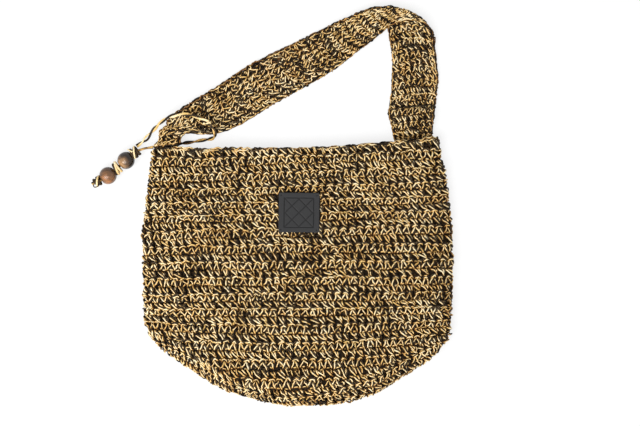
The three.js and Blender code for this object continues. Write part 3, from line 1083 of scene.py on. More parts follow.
# The strands' flat map: the margin in a strand's cell, and a cell's length to its width.
CELL_GAP = 0.05
CELL_SHAPE = 1.5
LOOP_SIZES = (
    "Strand width",
    "Strand thickness",
    "Strand offset",
    "Wander",
    "Wobble",
    "Stray",
    "Swap",
    "Lean",
    "Lowest",
)


def loops_tree():
    """Geometry nodes that lay one strand of every stitch on a guide."""
    tree = bpy.data.node_groups.new("loops", "GeometryNodeTree")
    inputs = [("Geometry", "Geometry"), ("Guide", "Object")]
    inputs += [(f"Stitch {number}", "Object") for number in range(WAYS)]
    inputs += [("Sides", "Int"), *((label, "Float") for label in LOOP_SIZES)]
    inputs += [("Seed", "Int"), ("Yarn", "Material")]
    for label, kind in inputs:
        tree.interface.new_socket(label, in_out="INPUT", socket_type="NodeSocket" + kind)
    tree.interface.new_socket("Geometry", in_out="OUTPUT", socket_type="NodeSocketGeometry")
    graph = Graph(tree)
    given = graph.add("NodeGroupInput").outputs

    def size(label):
        return Number(graph, given[label])

    def stored(name, kind="FLOAT"):
        node = graph.add("GeometryNodeInputNamedAttribute", {"Name": name}, data_type=kind)
        return node.outputs["Attribute"]

    def store(geometry, name, value, kind="FLOAT", domain="POINT"):
        sockets = {"Geometry": geometry, "Name": name, "Value": value}
        kept = graph.add(
            "GeometryNodeStoreNamedAttribute", sockets, data_type=kind, domain=domain
        )
        return kept.outputs[0]

    together = graph.add("GeometryNodeJoinGeometry")
    for number in range(WAYS):
        shape = graph.add("GeometryNodeObjectInfo", {"Object": given[f"Stitch {number}"]})
        line = graph.add("GeometryNodeMeshToCurve", {0: shape.outputs["Geometry"]})
        kinds = {2: stored("kind", "INT"), 3: number}
        chosen = graph.add("FunctionNodeCompare", kinds, data_type="INT", operation="EQUAL")
        turn = graph.add("ShaderNodeCombineXYZ", {2: stored("turn")})
        laid = graph.add(
            "GeometryNodeInstanceOnPoints",
            {
                "Points": given["Geometry"],
                "Selection": chosen.outputs[0],
                "Instance": line.outputs[0],
                "Rotation": turn.outputs[0],
                "Scale": stored("size", "FLOAT_VECTOR"),
            },
        )
        tree.links.new(laid.outputs[0], together.inputs[0])
    tone = graph.add("FunctionNodeRandomValue", {"Seed": given["Seed"]}, data_type="FLOAT")
    toned = store(together.outputs[0], "tone", tone.outputs[1], domain="INSTANCE")
    real = graph.add("GeometryNodeRealizeInstances", {0: toned}).outputs[0]

    # Where the line lies on the cloth, with slow and quick wandering.
    here = graph.add("GeometryNodeInputPosition").outputs[0]
    height = Number(graph, graph.add("ShaderNodeSeparateXYZ", {0: here}).outputs[2])
    flat = graph.vector("MULTIPLY", here, (1.0, 1.0, 0.0))
    seeded = graph.vector("ADD", flat, graph.scaled((0.0, 0.0, SEED_STEP), given["Seed"]))
    apart = graph.scaled((0.0, 0.0, STROKE_STEP), stored("stroke"))

    def noise(scale, detail=1.0, stretch=(1.0, 1.0, 1.0), together=False):
        at = seeded if together else graph.vector("ADD", seeded, apart)
        at = graph.vector("MULTIPLY", at, stretch)
        return graph.add("ShaderNodeTexNoise", {"Vector": at, "Scale": scale, "Detail": detail})

    def drifting(scale, together=False):
        colour = noise(scale, together=together).outputs["Color"]
        return graph.vector("SUBTRACT", colour, (0.5, 0.5, 0.5))

    slow, quick, single = drifting(SLOW, together=True), drifting(QUICK), drifting(SINGLE)
    push = graph.vector(
        "ADD", graph.scaled(slow, given["Wander"]), graph.scaled(quick, given["Wobble"])
    )
    push = graph.vector("ADD", push, graph.scaled(single, given["Stray"]))
    moved = graph.vector("ADD", flat, graph.vector("MULTIPLY", push, (1.0, 1.0, 0.0)))
    lift = graph.add("ShaderNodeSeparateXYZ", {0: quick})
    height = height + Number(graph, lift.outputs[2]) * RISING
    from_corner = graph.vector("SUBTRACT", moved, (*FIRST_PLACE, 0.0))
    place = graph.scaled(from_corner, 1 / PLACES_WIDE)
    cloth = graph.add("GeometryNodeObjectInfo", {"Object": given["Guide"]}).outputs["Geometry"]

    def read(value):
        weave = stored("weave", "FLOAT_VECTOR")
        sockets = {"Mesh": cloth, "Value": value, "UV Map": weave, "Sample UV": place}
        return graph.add("GeometryNodeSampleUVSurface", sockets, data_type="FLOAT_VECTOR")

    on_cloth = read(graph.add("GeometryNodeInputPosition").outputs[0])
    outward = read(stored("outward", "FLOAT_VECTOR")).outputs[0]

    # The pair leans over now and then, so that one strand or the other lies on top.
    spread = noise(LEANING, 1.5, LEANING_LONG).outputs["Fac"]
    lean = (Number(graph, spread) - 0.5) * size("Swap") + size("Lean")
    twisted = Number(graph, stored("twist"))
    around = Number(graph, graph.vector("DOT_PRODUCT", flat, (1.0, 1.0, 0.0)))
    angle = lean * (1 - twisted.wave("ABSOLUTE").clamped()) + twisted * around
    angle = angle + Number(graph, stored("tilt"))
    kept = store(real, "outward", outward, "FLOAT_VECTOR")
    kept = store(kept, "lean", angle)
    kept = store(kept, "height", (height * PAINTED_SHADE_HEIGHT_SCALE + PAINTED_SHADE_HEIGHT_FROM).clamped())
    kept = store(kept, "astray", on_cloth.outputs["Is Valid"], "BOOLEAN")
    risen = graph.scaled(outward, height * MM)
    lifted = graph.vector("ADD", on_cloth.outputs[0], risen)
    table = graph.add("ShaderNodeCombineXYZ", {0: NO_LIMIT, 1: NO_LIMIT, 2: given["Lowest"]})
    final = graph.vector("MAXIMUM", lifted, table.outputs[0])
    set_there = graph.add("GeometryNodeSetPosition", {"Geometry": kept, "Position": final})
    lost = graph.add("FunctionNodeBooleanMath", {0: stored("astray", "BOOLEAN")}, operation="NOT")
    sound = graph.add(
        "GeometryNodeDeleteGeometry",
        {"Geometry": set_there.outputs[0], "Selection": lost.outputs[0]},
        domain="POINT",
    )

    # The strand's skin: an oval drawn along the line, turned by its lean.
    out = stored("outward", "FLOAT_VECTOR")
    tangent = graph.add("GeometryNodeInputTangent").outputs[0]
    sideways = graph.vector("NORMALIZE", graph.vector("CROSS_PRODUCT", tangent, out))
    leaning = Number(graph, stored("lean"))
    normal = graph.vector(
        "ADD",
        graph.scaled(sideways, leaning.wave("COSINE")),
        graph.scaled(out, leaning.wave("SINE")),
    )
    turned = graph.add(
        "GeometryNodeSetCurveNormal", {"Curve": sound.outputs[0], "Normal": normal}, mode="FREE"
    )
    path = graph.add("GeometryNodeSplineParameter")
    measured = store(turned.outputs[0], "run", path.outputs["Length"])
    measured = store(measured, "along", path.outputs["Factor"])
    index = graph.add("GeometryNodeInputIndex").outputs[0]
    numbered = store(measured, "strand", index, domain="CURVE")
    strands = graph.number(
        "GeometryNodeAttributeDomainSize", {0: numbered}, "Spline Count", component="CURVE"
    )
    sides = size("Sides")
    ring = graph.add("GeometryNodeCurvePrimitiveCircle", {"Resolution": sides, "Radius": 1.0})
    half_width, half_thick = size("Strand width") * 0.5, size("Strand thickness") * 0.5
    oval = graph.add("ShaderNodeCombineXYZ", {0: half_width, 1: half_thick, 2: 1.0})
    aside = graph.add("ShaderNodeCombineXYZ", {0: given["Strand offset"]})
    section = graph.add(
        "GeometryNodeTransform",
        {"Geometry": ring.outputs[0], "Translation": aside.outputs[0], "Scale": oval.outputs[0]},
    )
    edged = store(section.outputs[0], "rim", Number(graph, index) / sides)
    skinned = graph.add(
        "GeometryNodeCurveToMesh",
        {"Curve": numbered, "Profile Curve": edged, "Fill Caps": True},
    )
    # How far the skin faces out of the cloth, which the yarn's material turns into painted light
    # and shade.
    shape = graph.add("GeometryNodeInputNormal").outputs[0]
    facing_out = graph.vector("DOT_PRODUCT", shape, stored("outward", "FLOAT_VECTOR"))
    faced = store(skinned.outputs[0], "facing", facing_out)

    # The strands laid side by side on a flat map, each in its own cell. The face that
    # closes a strand's round reaches the far side of its cell, and its ends bulge out.
    def over_face(value):
        return graph.number(
            "GeometryNodeFieldOnDomain", {0: value}, data_type="FLOAT", domain="FACE"
        )

    def above(value, least):
        return graph.number("ShaderNodeMath", {0: value, 1: least}, operation="GREATER_THAN")

    rim, along, strand = (Number(graph, stored(x)) for x in ("rim", "along", "strand"))
    closing = above((rim - over_face(rim)).wave("ABSOLUTE") * sides, 0.75)
    u = rim + closing * (1 - above(rim * sides, 0.5))
    end = above((over_face(along) - 0.5).wave("ABSOLUTE"), 0.4995)
    bulge = end * (along * 2 - 1) * (u - 1 / sides) * (1 - u) * 2 * CELL_GAP
    v = along * (1 - 2 * CELL_GAP) + CELL_GAP + bulge
    across = (strands * CELL_SHAPE).wave("SQRT").wave("CEIL")
    line = (strand / across + 0.001).wave("FLOOR")
    cell_u = (strand - line * across + u * (1 - 2 * CELL_GAP) + CELL_GAP) / across
    cell_v = (line + v) / (strands / across).wave("CEIL")
    cell = graph.add("ShaderNodeCombineXYZ", {0: cell_u, 1: cell_v})
    mapped = store(faced, "OFBake", cell.outputs[0], "FLOAT2", "CORNER")
    smoothed = graph.add("GeometryNodeSetShadeSmooth", {"Geometry": mapped})
    dyed = graph.add(
        "GeometryNodeSetMaterial", {"Geometry": smoothed.outputs[0], "Material": given["Yarn"]}
    )
    graph.add("NodeGroupOutput", {"Geometry": dyed.outputs[0]})
    return tree


LOOPS = loops_tree()
# Each yarn's side of the pair, and its material.
YARNS = {"gold": (1, gold_yarn), "black": (-1, black_yarn)}


def loops(name, cells, laid_on, shapes="fine", **sizes):
    """Two pieces, the gold and the black strands of the same stitches. A cell is its place
    across and down, its kind, its turn, its width, height and depth, its twist and tilt."""
    made = []
    for colour, (side, yarn) in YARNS.items():
        mesh = bpy.data.meshes.new(name)
        mesh.from_pydata([(cell[0], cell[1], 0.0) for cell in cells], [], [])
        keep_on_points(mesh, "kind", "INT", [cell[2] for cell in cells])
        for key, column in (("turn", 3), ("twist", 7), ("tilt", 8)):
            keep_on_points(mesh, key, "FLOAT", [cell[column] for cell in cells])
        keep_on_points(mesh, "size", "FLOAT_VECTOR", [x for cell in cells for x in cell[4:7]])
        host = put_in_scene("cells", mesh)
        grow = host.modifiers.new("loops", "NODES")
        grow.node_group = LOOPS
        values = {
            "Guide": laid_on,
            **{f"Stitch {number}": path for number, path in enumerate(paths[shapes])},
            "Sides": 4,
            "Strand width": 1.85 * MM,
            "Strand thickness": 1.6 * MM,
            "Strand offset": side * 0.9 * MM,
            "Wander": 0.6,
            "Wobble": 0.26,
            "Stray": side * 0.14,
            "Swap": 9.0,
            "Lean": 0.35,
            "Lowest": 1.75 * MM,
            "Seed": 5,
            "Yarn": yarn,
        }
        values.update({key.replace("_", " "): value for key, value in sizes.items()})
        for item in LOOPS.interface.items_tree:
            if item.in_out == "INPUT" and item.name in values:
                grow[item.identifier] = values[item.name]
        host.update_tag()
        seen = bpy.context.evaluated_depsgraph_get()
        grown = bpy.data.meshes.new_from_object(host.evaluated_get(seen))
        bpy.data.objects.remove(host)
        grown.name = f"{name}_{colour}"
        made.append(fit(put_in_scene(grown.name, grown)))
    return made


# Where the rows lie: a row's number, and its height at the left, middle and right.
ROWS = (
    (0.0, 57.0, 57.0, 67.0),
    (1.5, 41.0, 45.0, 50.0),
    (3.5, 26.0, 29.5, 34.0),
    (5.5, 12.5, 15.0, 21.0),
    (7.5, -2.0, 1.0, 6.0),
    (9.5, -15.0, -12.0, -9.0),
    (11.5, -31.0, -28.0, -24.0),
    (13.5, -46.0, -44.0, -43.0),
    (15.5, -62.0, -60.5, -58.5),
    (17.5, -78.0, -76.0, -76.0),
    (19.5, -94.0, -92.0, -92.0),
    (21.5, -107.0, -106.0, -104.5),
    (23.5, -120.0, -123.0, -117.5),
    (25.5, -137.0, -139.5, -131.0),
    (27.5, -157.0, -156.0, -150.0),
    (29.5, -176.0, -176.0, -170.0),
    (31.5, -195.0, -195.0, -190.0),
)
# The rows' table spans the front from this far left of its middle to this far right.
ROWS_HALF = 150.0
LAY = 2.3
GUIDE_COLUMNS = 60
GUIDE_ROWS = 90
# Columns repeated past the seam of the round, and how far the guide goes on past the ridge.
GUIDE_MARGIN = 13
GUIDE_BEYOND = (0.12, 0.24, 0.36)
RIDGE_LINE = -1 - len(GUIDE_BEYOND)
RIM_ROLL = 1.1
RIM_TURNS = (180.0, 135.0, 90.0, 45.0)


def through_three(first, middle, last, share):
    """The even curve through three values, read at a share of the way."""
    return (
        first * 2 * (share - 0.5) * (share - 1)
        + middle * 4 * share * (1 - share)
        + last * 2 * share * (share - 0.5)
    )


def row_at(x, y):
    """Which row lies at a point of the front or back."""
    number, left, middle, right = np.array(ROWS, float).T
    share = np.clip((x + ROWS_HALF) / (2 * ROWS_HALF), 0, 1)
    return float(np.interp(-y, -through_three(left, middle, right, share), number))


def outward_of(grid):
    """The directions square to a grid of points, all to the same side."""
    return unit(np.cross(np.gradient(grid, axis=0), np.gradient(grid, axis=1)))


def bag_guide():
    """The round of the bag, opened at its left side, from the rolled rim to the ridge."""
    across = places_across(GUIDE_COLUMNS)
    sides = {}
    for front in (True, False):
        run = run_along(panel(across, 0.5, front, LAY))
        sides[front] = (run / run[-1] * 2 - 1) * ROUND / 4
    ring = [(a, True, s) for a, s in zip(across, sides[True])]
    back = list(zip(across, sides[False]))[::-1][1:]
    ring += [(a, False, ROUND / 2 - s) for a, s in back]
    ring = (
        [(a, front, s - ROUND) for a, front, s in ring[-GUIDE_MARGIN - 1 : -1]]
        + ring
        + [(a, front, s + ROUND) for a, front, s in ring[1 : GUIDE_MARGIN + 1]]
    )
    down = np.linspace(LOOPED_FROM, 1, GUIDE_ROWS + 1)
    columns, places = [], []
    for a, front, s in ring:
        body = panel(a, down, front, LAY)
        turn = np.array([(-1 + b) if front else (1 - b) for b in GUIDE_BEYOND])
        column = np.vstack([body, base(np.full(len(turn), a), turn, LAY)])
        rows = [row_at(p[0], p[1]) for p in body]
        run = run_along(column[len(body) - 1 :])[1:]
        rows += (rows[-1] + run / ROW_PITCH).tolist()
        columns.append(column)
        places.append(np.stack([np.full(len(rows), s), rows], -1))
    grid = np.array(columns).transpose(1, 0, 2)
    place = np.array(places).transpose(1, 0, 2)
    out = outward_of(grid)
    out = out * np.sign(out[GUIDE_ROWS // 2, GUIDE_MARGIN + GUIDE_COLUMNS // 2][2])
    rolled, rolled_out, rolled_place = [], [], []
    for turn in RIM_TURNS:
        angle = math.radians(turn)
        round_out = out[0] * math.cos(angle) + np.array([0, 1, 0]) * math.sin(angle)
        rolled.append(grid[0] - out[0] * RIM_ROLL + round_out * RIM_ROLL)
        rolled_out.append(round_out)
        rolled_place.append(place[0] + np.array([0, -RIM_ROLL * angle / ROW_PITCH]))
    pairs = ((rolled, grid), (rolled_out, out), (rolled_place, place))
    return tuple(np.concatenate([np.array(first), then]) for first, then in pairs)


BASE_ROWS_DEEP = {True: 5, False: 4}
BASE_PLACE = {True: 40.0, False: 60.0}
BASE_SHORT = {True: -0.25, False: 0.1}
BASE_HALF = 26
BASE_REACH = 0.985
BASE_STEPS = 26
BASE_MARGIN = 0.35
# Two rows of the panel above the ridge, and the line of the base that its stitches are
# counted along.
BASE_ABOVE = (0.94, 0.97)
BASE_COUNTED = 12
BASE_CENTRE = (0, -60, 15.0)


def base_guide(front):
    """Half of the base, from its ridge to a little past the fold that lies outermost."""
    across = places_across(GUIDE_COLUMNS, BASE_REACH)
    around = np.linspace(1, -BASE_MARGIN, BASE_STEPS) * (-1 if front else 1)
    rows = [panel(across, place, front, LAY) for place in BASE_ABOVE]
    rows += [base(across, np.full_like(across, turn), LAY) for turn in around]
    grid = np.array(rows)
    run = run_along(grid)
    run = (run - run[len(BASE_ABOVE)]) / ROW_PITCH
    along = run_along(grid[BASE_COUNTED])
    along = (along - along[-1] / 2) / STITCH
    place = np.stack([np.broadcast_to(along, run.shape), run + BASE_PLACE[front]], -1)
    out = outward_of(grid)
    out = out * np.sign((out * (grid - np.array(BASE_CENTRE))).sum())
    fold = np.abs(around).argmin() + len(BASE_ABOVE)
    return (grid, out, place), along, run[fold]


bag_grid = bag_guide()
front_base, base_along, front_deep = base_guide(True)
back_base, _, back_deep = base_guide(False)
bag_laid = guide("bag_guide", [bag_grid, front_base, back_base])

# The patch hides the stitches of these rows that lie this near to its middle, in mm.
PATCH_CENTRE = (1.2, -8.0)
HIDDEN_WITHIN = 17.0
PATCH_ROWS = range(6, 11)
STITCH_THERE = 7.9
# How uneven the hand work is: the number of stitches in a row, a stitch's place along and
# down the row, its turn, its width, its height, and how far it stands out.
COUNT_RANGE = (0.965, 1.035)
PLACE_SPREAD, ROW_SPREAD, TURN_SPREAD = 0.05, 0.045, 0.13
WIDTH_RANGE = (0.86, 1.14)
HEIGHT_RANGE = (0.84, 1.08)
DEPTH_RANGE = (0.80, 1.10)


def ridge_row(place):
    """The row in which the cloth meets the ridge, at a place across the round."""
    columns, rows = bag_grid[2][RIDGE_LINE].T
    return float(np.interp(place, columns, rows))


def worked_row(first, last, row, kind, closed=False, out=1.0):
    """Stitches along a row, as uneven as hand work. A closed row ends where it began."""
    count = (last - first) * chance.uniform(*COUNT_RANGE)
    count = max(int(round(count)), 1)
    pitch = (last - first) / count
    shift = chance.uniform(0, 1) if closed else 0.5
    return [
        (
            first + (index + shift) * pitch + chance.normal(0, PLACE_SPREAD),
            row + 0.5 + chance.normal(0, ROW_SPREAD),
            int(chance.choice(KIND_NUMBERS[kind])),
            chance.normal(0, TURN_SPREAD),
            pitch * chance.uniform(*WIDTH_RANGE),
            chance.uniform(*HEIGHT_RANGE),
            out * chance.uniform(*DEPTH_RANGE),
            0.0,
            0.0,
        )
        for index in range(count)
    ]


BAG_ROWS = 33
RIDGE_ALLOWANCE = 0.3
SIDE_STITCHES = 2.0
KNOBBLY = (-0.15, 1.0)
KNOBBLY_WITHIN = 1.6
knobs = np.random.default_rng(4)


def knobbly(cell, from_fold):
    """The same stitch, standing prouder by chance where the cloth turns over a fold."""
    near = max(1 - abs(from_fold) / KNOBBLY_WITHIN, 0) ** 0.5
    prouder = 1 + near * knobs.uniform(*KNOBBLY)
    return (*cell[:6], cell[6] * prouder, *cell[7:])


def bag_cells():
    """Every stitch of the round, row by row, without those that the patch hides."""
    front, sides, back = [], [], []
    for row in range(BAG_ROWS):
        kind = "peak" if row % 2 else "slant"
        for cell in worked_row(-ROUND / 4, 3 * ROUND / 4, row, kind, closed=True):
            place = cell[0]
            under_patch = abs(place * STITCH_THERE - PATCH_CENTRE[0]) < HIDDEN_WITHIN
            if row + RIDGE_ALLOWANCE > ridge_row(place) or (under_patch and row in PATCH_ROWS):
                continue
            from_fold = place % (ROUND / 2) - ROUND / 4
            under = sides if abs(from_fold) < SIDE_STITCHES else back
            (front if place < ROUND / 4 else under).append(knobbly(cell, from_fold))
    return front, sides, back


RIM_TWIST = 1.5
RIM_ROWS = (-0.02, 0.20)
RIM_FIRST = -20


def rim_cells():
    """Chain links round the rim, which lie over its edge."""
    link = KIND_NUMBERS["chain"][0]
    return [
        (place + 0.5, row, link, 0.0, 1.0, 1.0, 1.0, RIM_TWIST, 0.0)
        for place in range(RIM_FIRST, RIM_FIRST + ROUND)
        for row in RIM_ROWS
    ]


def base_cells(front, deep):
    """The stitches of half of the base, as far as the fold that lies outermost."""
    cells = []
    for row in range(BASE_ROWS_DEEP[front]):
        kind = "peak" if row % 2 else "slant"
        for cell in worked_row(-BASE_HALF, BASE_HALF, BASE_PLACE[front] + row, kind):
            fold = float(np.interp(cell[0], base_along, deep, left=0, right=0))
            if fold > row + BASE_SHORT[front]:
                cells.append(knobbly(cell, fold - row - 0.5))
    return cells


front_cells, side_cells, back_cells = bag_cells()
under_cells = base_cells(True, front_deep) + base_cells(False, back_deep)
bag_pieces = loops("bag_front", front_cells + rim_cells(), bag_laid)
bag_pieces += loops("bag_sides", side_cells, bag_laid)
bag_pieces += loops("bag_back", back_cells, bag_laid, "plain", Sides=3)
bag_pieces += loops("bag_base", under_cells, bag_laid)

# ---------------------------------------------------------------- strap
# A band seven stitches wide, worked in rows across it. It comes off the rim at the left,
# lies over to the right, folds over itself there and comes down to the rim.
# The places across the rim where the strap's two feet are joined to it.
STRAP_LEFT = {"front": -0.83, "back": -0.85}
STRAP_RIGHT = {"outer": 0.715, "inner": 0.955}
# The band's outer edge, middle and inner edge, from the left foot to the right one. The
# middle lies halfway where none is given.
STRAP = (
    ((-121, 62, 2.8), (-138.5, 64, 8), (-117.5, 65, 13)),
    ((-125, 72, 4.5), (-135, 74.5, 9), (-110, 71.5, 12)),
    ((-131.5, 82.5, 8), (-114, 77, 11), (-94, 71, 10.5)),
    ((-116, 96.5, 8), None, (-82, 71.5, 9)),
    ((-84, 116.8, 5), None, (-58.5, 80, 5.5)),
    ((-50, 139.6, 2), None, (-25.5, 100.5, 2)),
    ((13, 170.5, 2), None, (36, 136, 2)),
    ((40, 183.5, 4), None, (62, 156.5, 4.5)),
    ((60, 191.8, 7.2), None, (79, 169, 7.6)),
    ((74, 196.6, 7.8), None, (95, 181.5, 8)),
    ((83, 197.9, 7.8), (99, 192.5, 8), (114, 185.5, 8)),
    ((87, 197.6, 7.2), (110, 192.5, 7.6), (128, 181, 7.6)),
    ((88.5, 196.2, 4.9), (114.5, 190, 4.9), (137.3, 166, 4.9)),
    ((88.5, 192, 2.2), (111, 184, 2.2), (138.3, 157.5, 2.2)),
    ((91, 172, 2), None, (139.5, 143, 2)),
    ((94.5, 148, 2), None, (140.8, 128, 2)),
    ((94.3, 120, 2), None, (139.5, 112, 2)),
    ((92.5, 103, 3), None, (138, 99, 3)),
    ((90.5, 93, 7), None, (136.5, 89, 6.5)),
    ((94.5, 79, 5), None, (134, 76, 5)),
)
CLOTH = 4.0
SEAM = 1.5
STRAP_STITCHES = 7
STRAP_ROWS = 61
STRAP_INSET = 0.038
STRAP_FOOT = 0.09
STRAP_SECTIONS = 170
STRAP_SAMPLES = 13
STRAP_LAY = 0.6
STRAP_FLATNESS = 0.65
STRAP_CORE = 0.45


def rim_seat(across, front):
    """A point in the middle of the rim's cloth, a seam above it."""
    point = panel(across, 0.0, front, CLOTH / 2)
    point[1] += SEAM
    return point


def strap_edges():
    """The band's outer edge, middle and inner edge, with both feet at the rim."""
    left_foot = (
        rim_seat(STRAP_LEFT["back"], False),
        rim_seat(-1, True),
        rim_seat(STRAP_LEFT["front"], True),
    )
    between = (STRAP_RIGHT["outer"] + STRAP_RIGHT["inner"]) / 2
    places = (STRAP_RIGHT["outer"], between, STRAP_RIGHT["inner"])
    rows = [left_foot]
    for outer, middle, inner in STRAP:
        centre = [(a + b) / 2 for a, b in zip(outer, inner)] if middle is None else middle
        rows.append((outer, centre, inner))
    rows.append([rim_seat(place, False) for place in places])
    return [np.array([row[i] for row in rows], float) for i in range(3)]


def strap_sheet(samples, sections):
    """The middle of the band, with its directions out of one face and across it."""
    along = np.linspace(0, 1, sections)
    outer, middle, inner = (through(edge, along)[:, None] for edge in strap_edges())
    from_foot = np.clip(np.minimum(along, 1 - along) / STRAP_FOOT, 0, 1)[:, None]
    inset = STRAP_INSET * from_foot**2 * (3 - 2 * from_foot)
    across = (inset + (1 - 2 * inset) * np.linspace(0, 1, samples))[..., None]
    grid = through_three(outer, middle, inner, across)
    return grid, outward_of(grid), unit(np.gradient(grid, axis=1))


strap_middle, strap_up, strap_side = strap_sheet(STRAP_SAMPLES, STRAP_SECTIONS)
# The band's core is the same cloth, with painted shade on its faces between the loops.
strap_cloth = shell(
    "strap_cloth",
    strap_middle + strap_up * STRAP_CORE,
    strap_middle - strap_up * STRAP_CORE,
    [shaded_ground],
)
tidy_mesh(strap_cloth, gap=1e-6)
# The band's edges, in stitches: the way round an edge, and where its chain links lie.
EDGE = 0.5
EDGE_LINKS = (STRAP_STITCHES + 0.08, STRAP_STITCHES + 0.4, -0.08, -0.4)
EDGE_ROLL = 0.9
EDGE_DEPTH = 0.8
EDGE_TILT = 0.9
EDGE_MARGIN = 4
# A stitch whose outward direction points down more than this is on the underside.
UNDER = -0.4


def strap_guide():
    """Once round the band: its first face, an edge, its second face and the other edge."""
    run = run_along(strap_middle)
    rows = run / run[-1] * STRAP_ROWS
    inset = np.linspace(0, 1, STRAP_SAMPLES)
    last = STRAP_SAMPLES - 1
    columns = [(i, 1, inset[i] * STRAP_STITCHES) for i in range(STRAP_SAMPLES)]
    columns.append((last, 0, STRAP_STITCHES + EDGE / 2))
    columns += [(i, -1, STRAP_STITCHES * (2 - inset[i]) + EDGE) for i in range(last, -1, -1)]
    columns.append((0, 0, 2 * STRAP_STITCHES + 1.5 * EDGE))
    whole = 2 * (STRAP_STITCHES + EDGE)
    columns = (
        [(i, face, u - whole) for i, face, u in columns[-EDGE_MARGIN:]]
        + columns
        + [(i, face, u + whole) for i, face, u in columns[:EDGE_MARGIN]]
    )
    points, outs, places = [], [], []
    for i, face, u in columns:
        out = strap_up[:, i] * face if face else strap_side[:, i] * (1 if i else -1)
        points.append(strap_middle[:, i] + out * (STRAP_LAY if face else EDGE_ROLL))
        outs.append(out)
        places.append(np.stack([np.full(len(rows), u), rows[:, i]], -1))
    return tuple(np.array(x).transpose(1, 0, 2) for x in (points, outs, places))


def strap_cells():
    """Rows across both faces, and chain links along both edges."""
    cells = []
    link = KIND_NUMBERS["chain"][0]
    for row in range(STRAP_ROWS):
        kind = "slant" if row % 2 else "peak"
        for first in (0, STRAP_STITCHES + EDGE):
            cells += worked_row(first, first + STRAP_STITCHES, row, kind, out=STRAP_FLATNESS)
        for edge in EDGE_LINKS:
            place = (edge, row + 0.5, link, math.pi / 2)
            cells.append((*place, 1.0, 1.0, EDGE_DEPTH, 0.0, EDGE_TILT))
    return cells


def lies_under(cell):
    """Whether a stitch is on the side of the band that faces the table."""
    apart = np.abs(strap_grid[2] - cell[:2]).sum(-1)
    return strap_grid[1].reshape(-1, 3)[apart.argmin(), 2] < UNDER


STRAP_YARN = {"Seed": 8, "Strand_width": 1.75 * MM, "Wobble": 0.30, "Lean": 0.25}
strap_grid = strap_guide()
strap_laid = guide("strap_guide", [strap_grid])
upper, under = [], []
for cell in strap_cells():
    (under if lies_under(cell) else upper).append(cell)
strap_pieces = loops("strap", upper, strap_laid, **STRAP_YARN)
strap_pieces += loops("strap_under", under, strap_laid, "plain", Sides=3, **STRAP_YARN)
fit(strap_cloth, "strap")

# ---------------------------------------------------------------- patch
# A square of matt charcoal rubber, sewn on at its corners. Its face is pressed with a
# square line and, inside it, plain crossing lines.
PATCH_WIDTH = 40.7
PATCH_HEIGHT = 39.5
PATCH_THICKNESS = 2.0
PATCH_TURN = -0.01
PATCH_STEPS = 96
PATCH_ROUND = 1.6
PATCH_LIFT = 0.3
FRAME_HALF = 14.6
LINE_WIDTH = 1.0
LINE_DEPTH = 0.7
LATTICE_STEP = 9.73
LATTICE_SHARE = 0.8
HOLE_INSET = 2.6
HOLE_SIZE = 0.8
HOLE_DEPTH = 1.2
HOLE_FLARE = 1.6
SHOULDER_WIDTH = 0.7
SHOULDER_DROP = 0.35
RUBBER_CLOUDS = 70.0
RUBBER_GRAIN = 2600.0
RUBBER_TONES = ((0.020, 0.020, 0.021), (0.033, 0.033, 0.034))
BY_RUBBER_CLOUD, BY_RUBBER_GRAIN, RUBBER_TAKEN_OFF = 0.7, 0.5, 0.1
# The painted shade of the pressed lines and holes: its tone, and how strongly it darkens them.
PRESSED_SHADE_TONE, PRESSED_SHADE_DARKER = (0.006, 0.006, 0.006), 0.75
RUBBER_SHINE, RUBBER_DULLER = 0.55, 0.2
RUBBER_BUMP, RUBBER_DEPTH = 0.25, 0.0002


def front_height(x, y):
    """How high the front's outer face lies at a point of the table."""
    left, right = smooth(SIDES, LEFT, y), smooth(SIDES, RIGHT, y)
    across = 2 * (x - left) / (right - left) - 1
    rim_y = smooth(RIM, 1, across)
    ridge_y = smooth(BASE, RIDGE_Y, across * HALF_WIDTH)
    down = (rim_y - y) / (rim_y - ridge_y)
    return panel(across, down, True, 0.0)[..., 2]


def pressed_line(distance):
    """How deep a round-bottomed line is, from 0 to 1, at a distance from its middle."""
    return np.clip(1 - (np.abs(distance) / (LINE_WIDTH / 2)) ** 2, 0, 1) ** 0.5


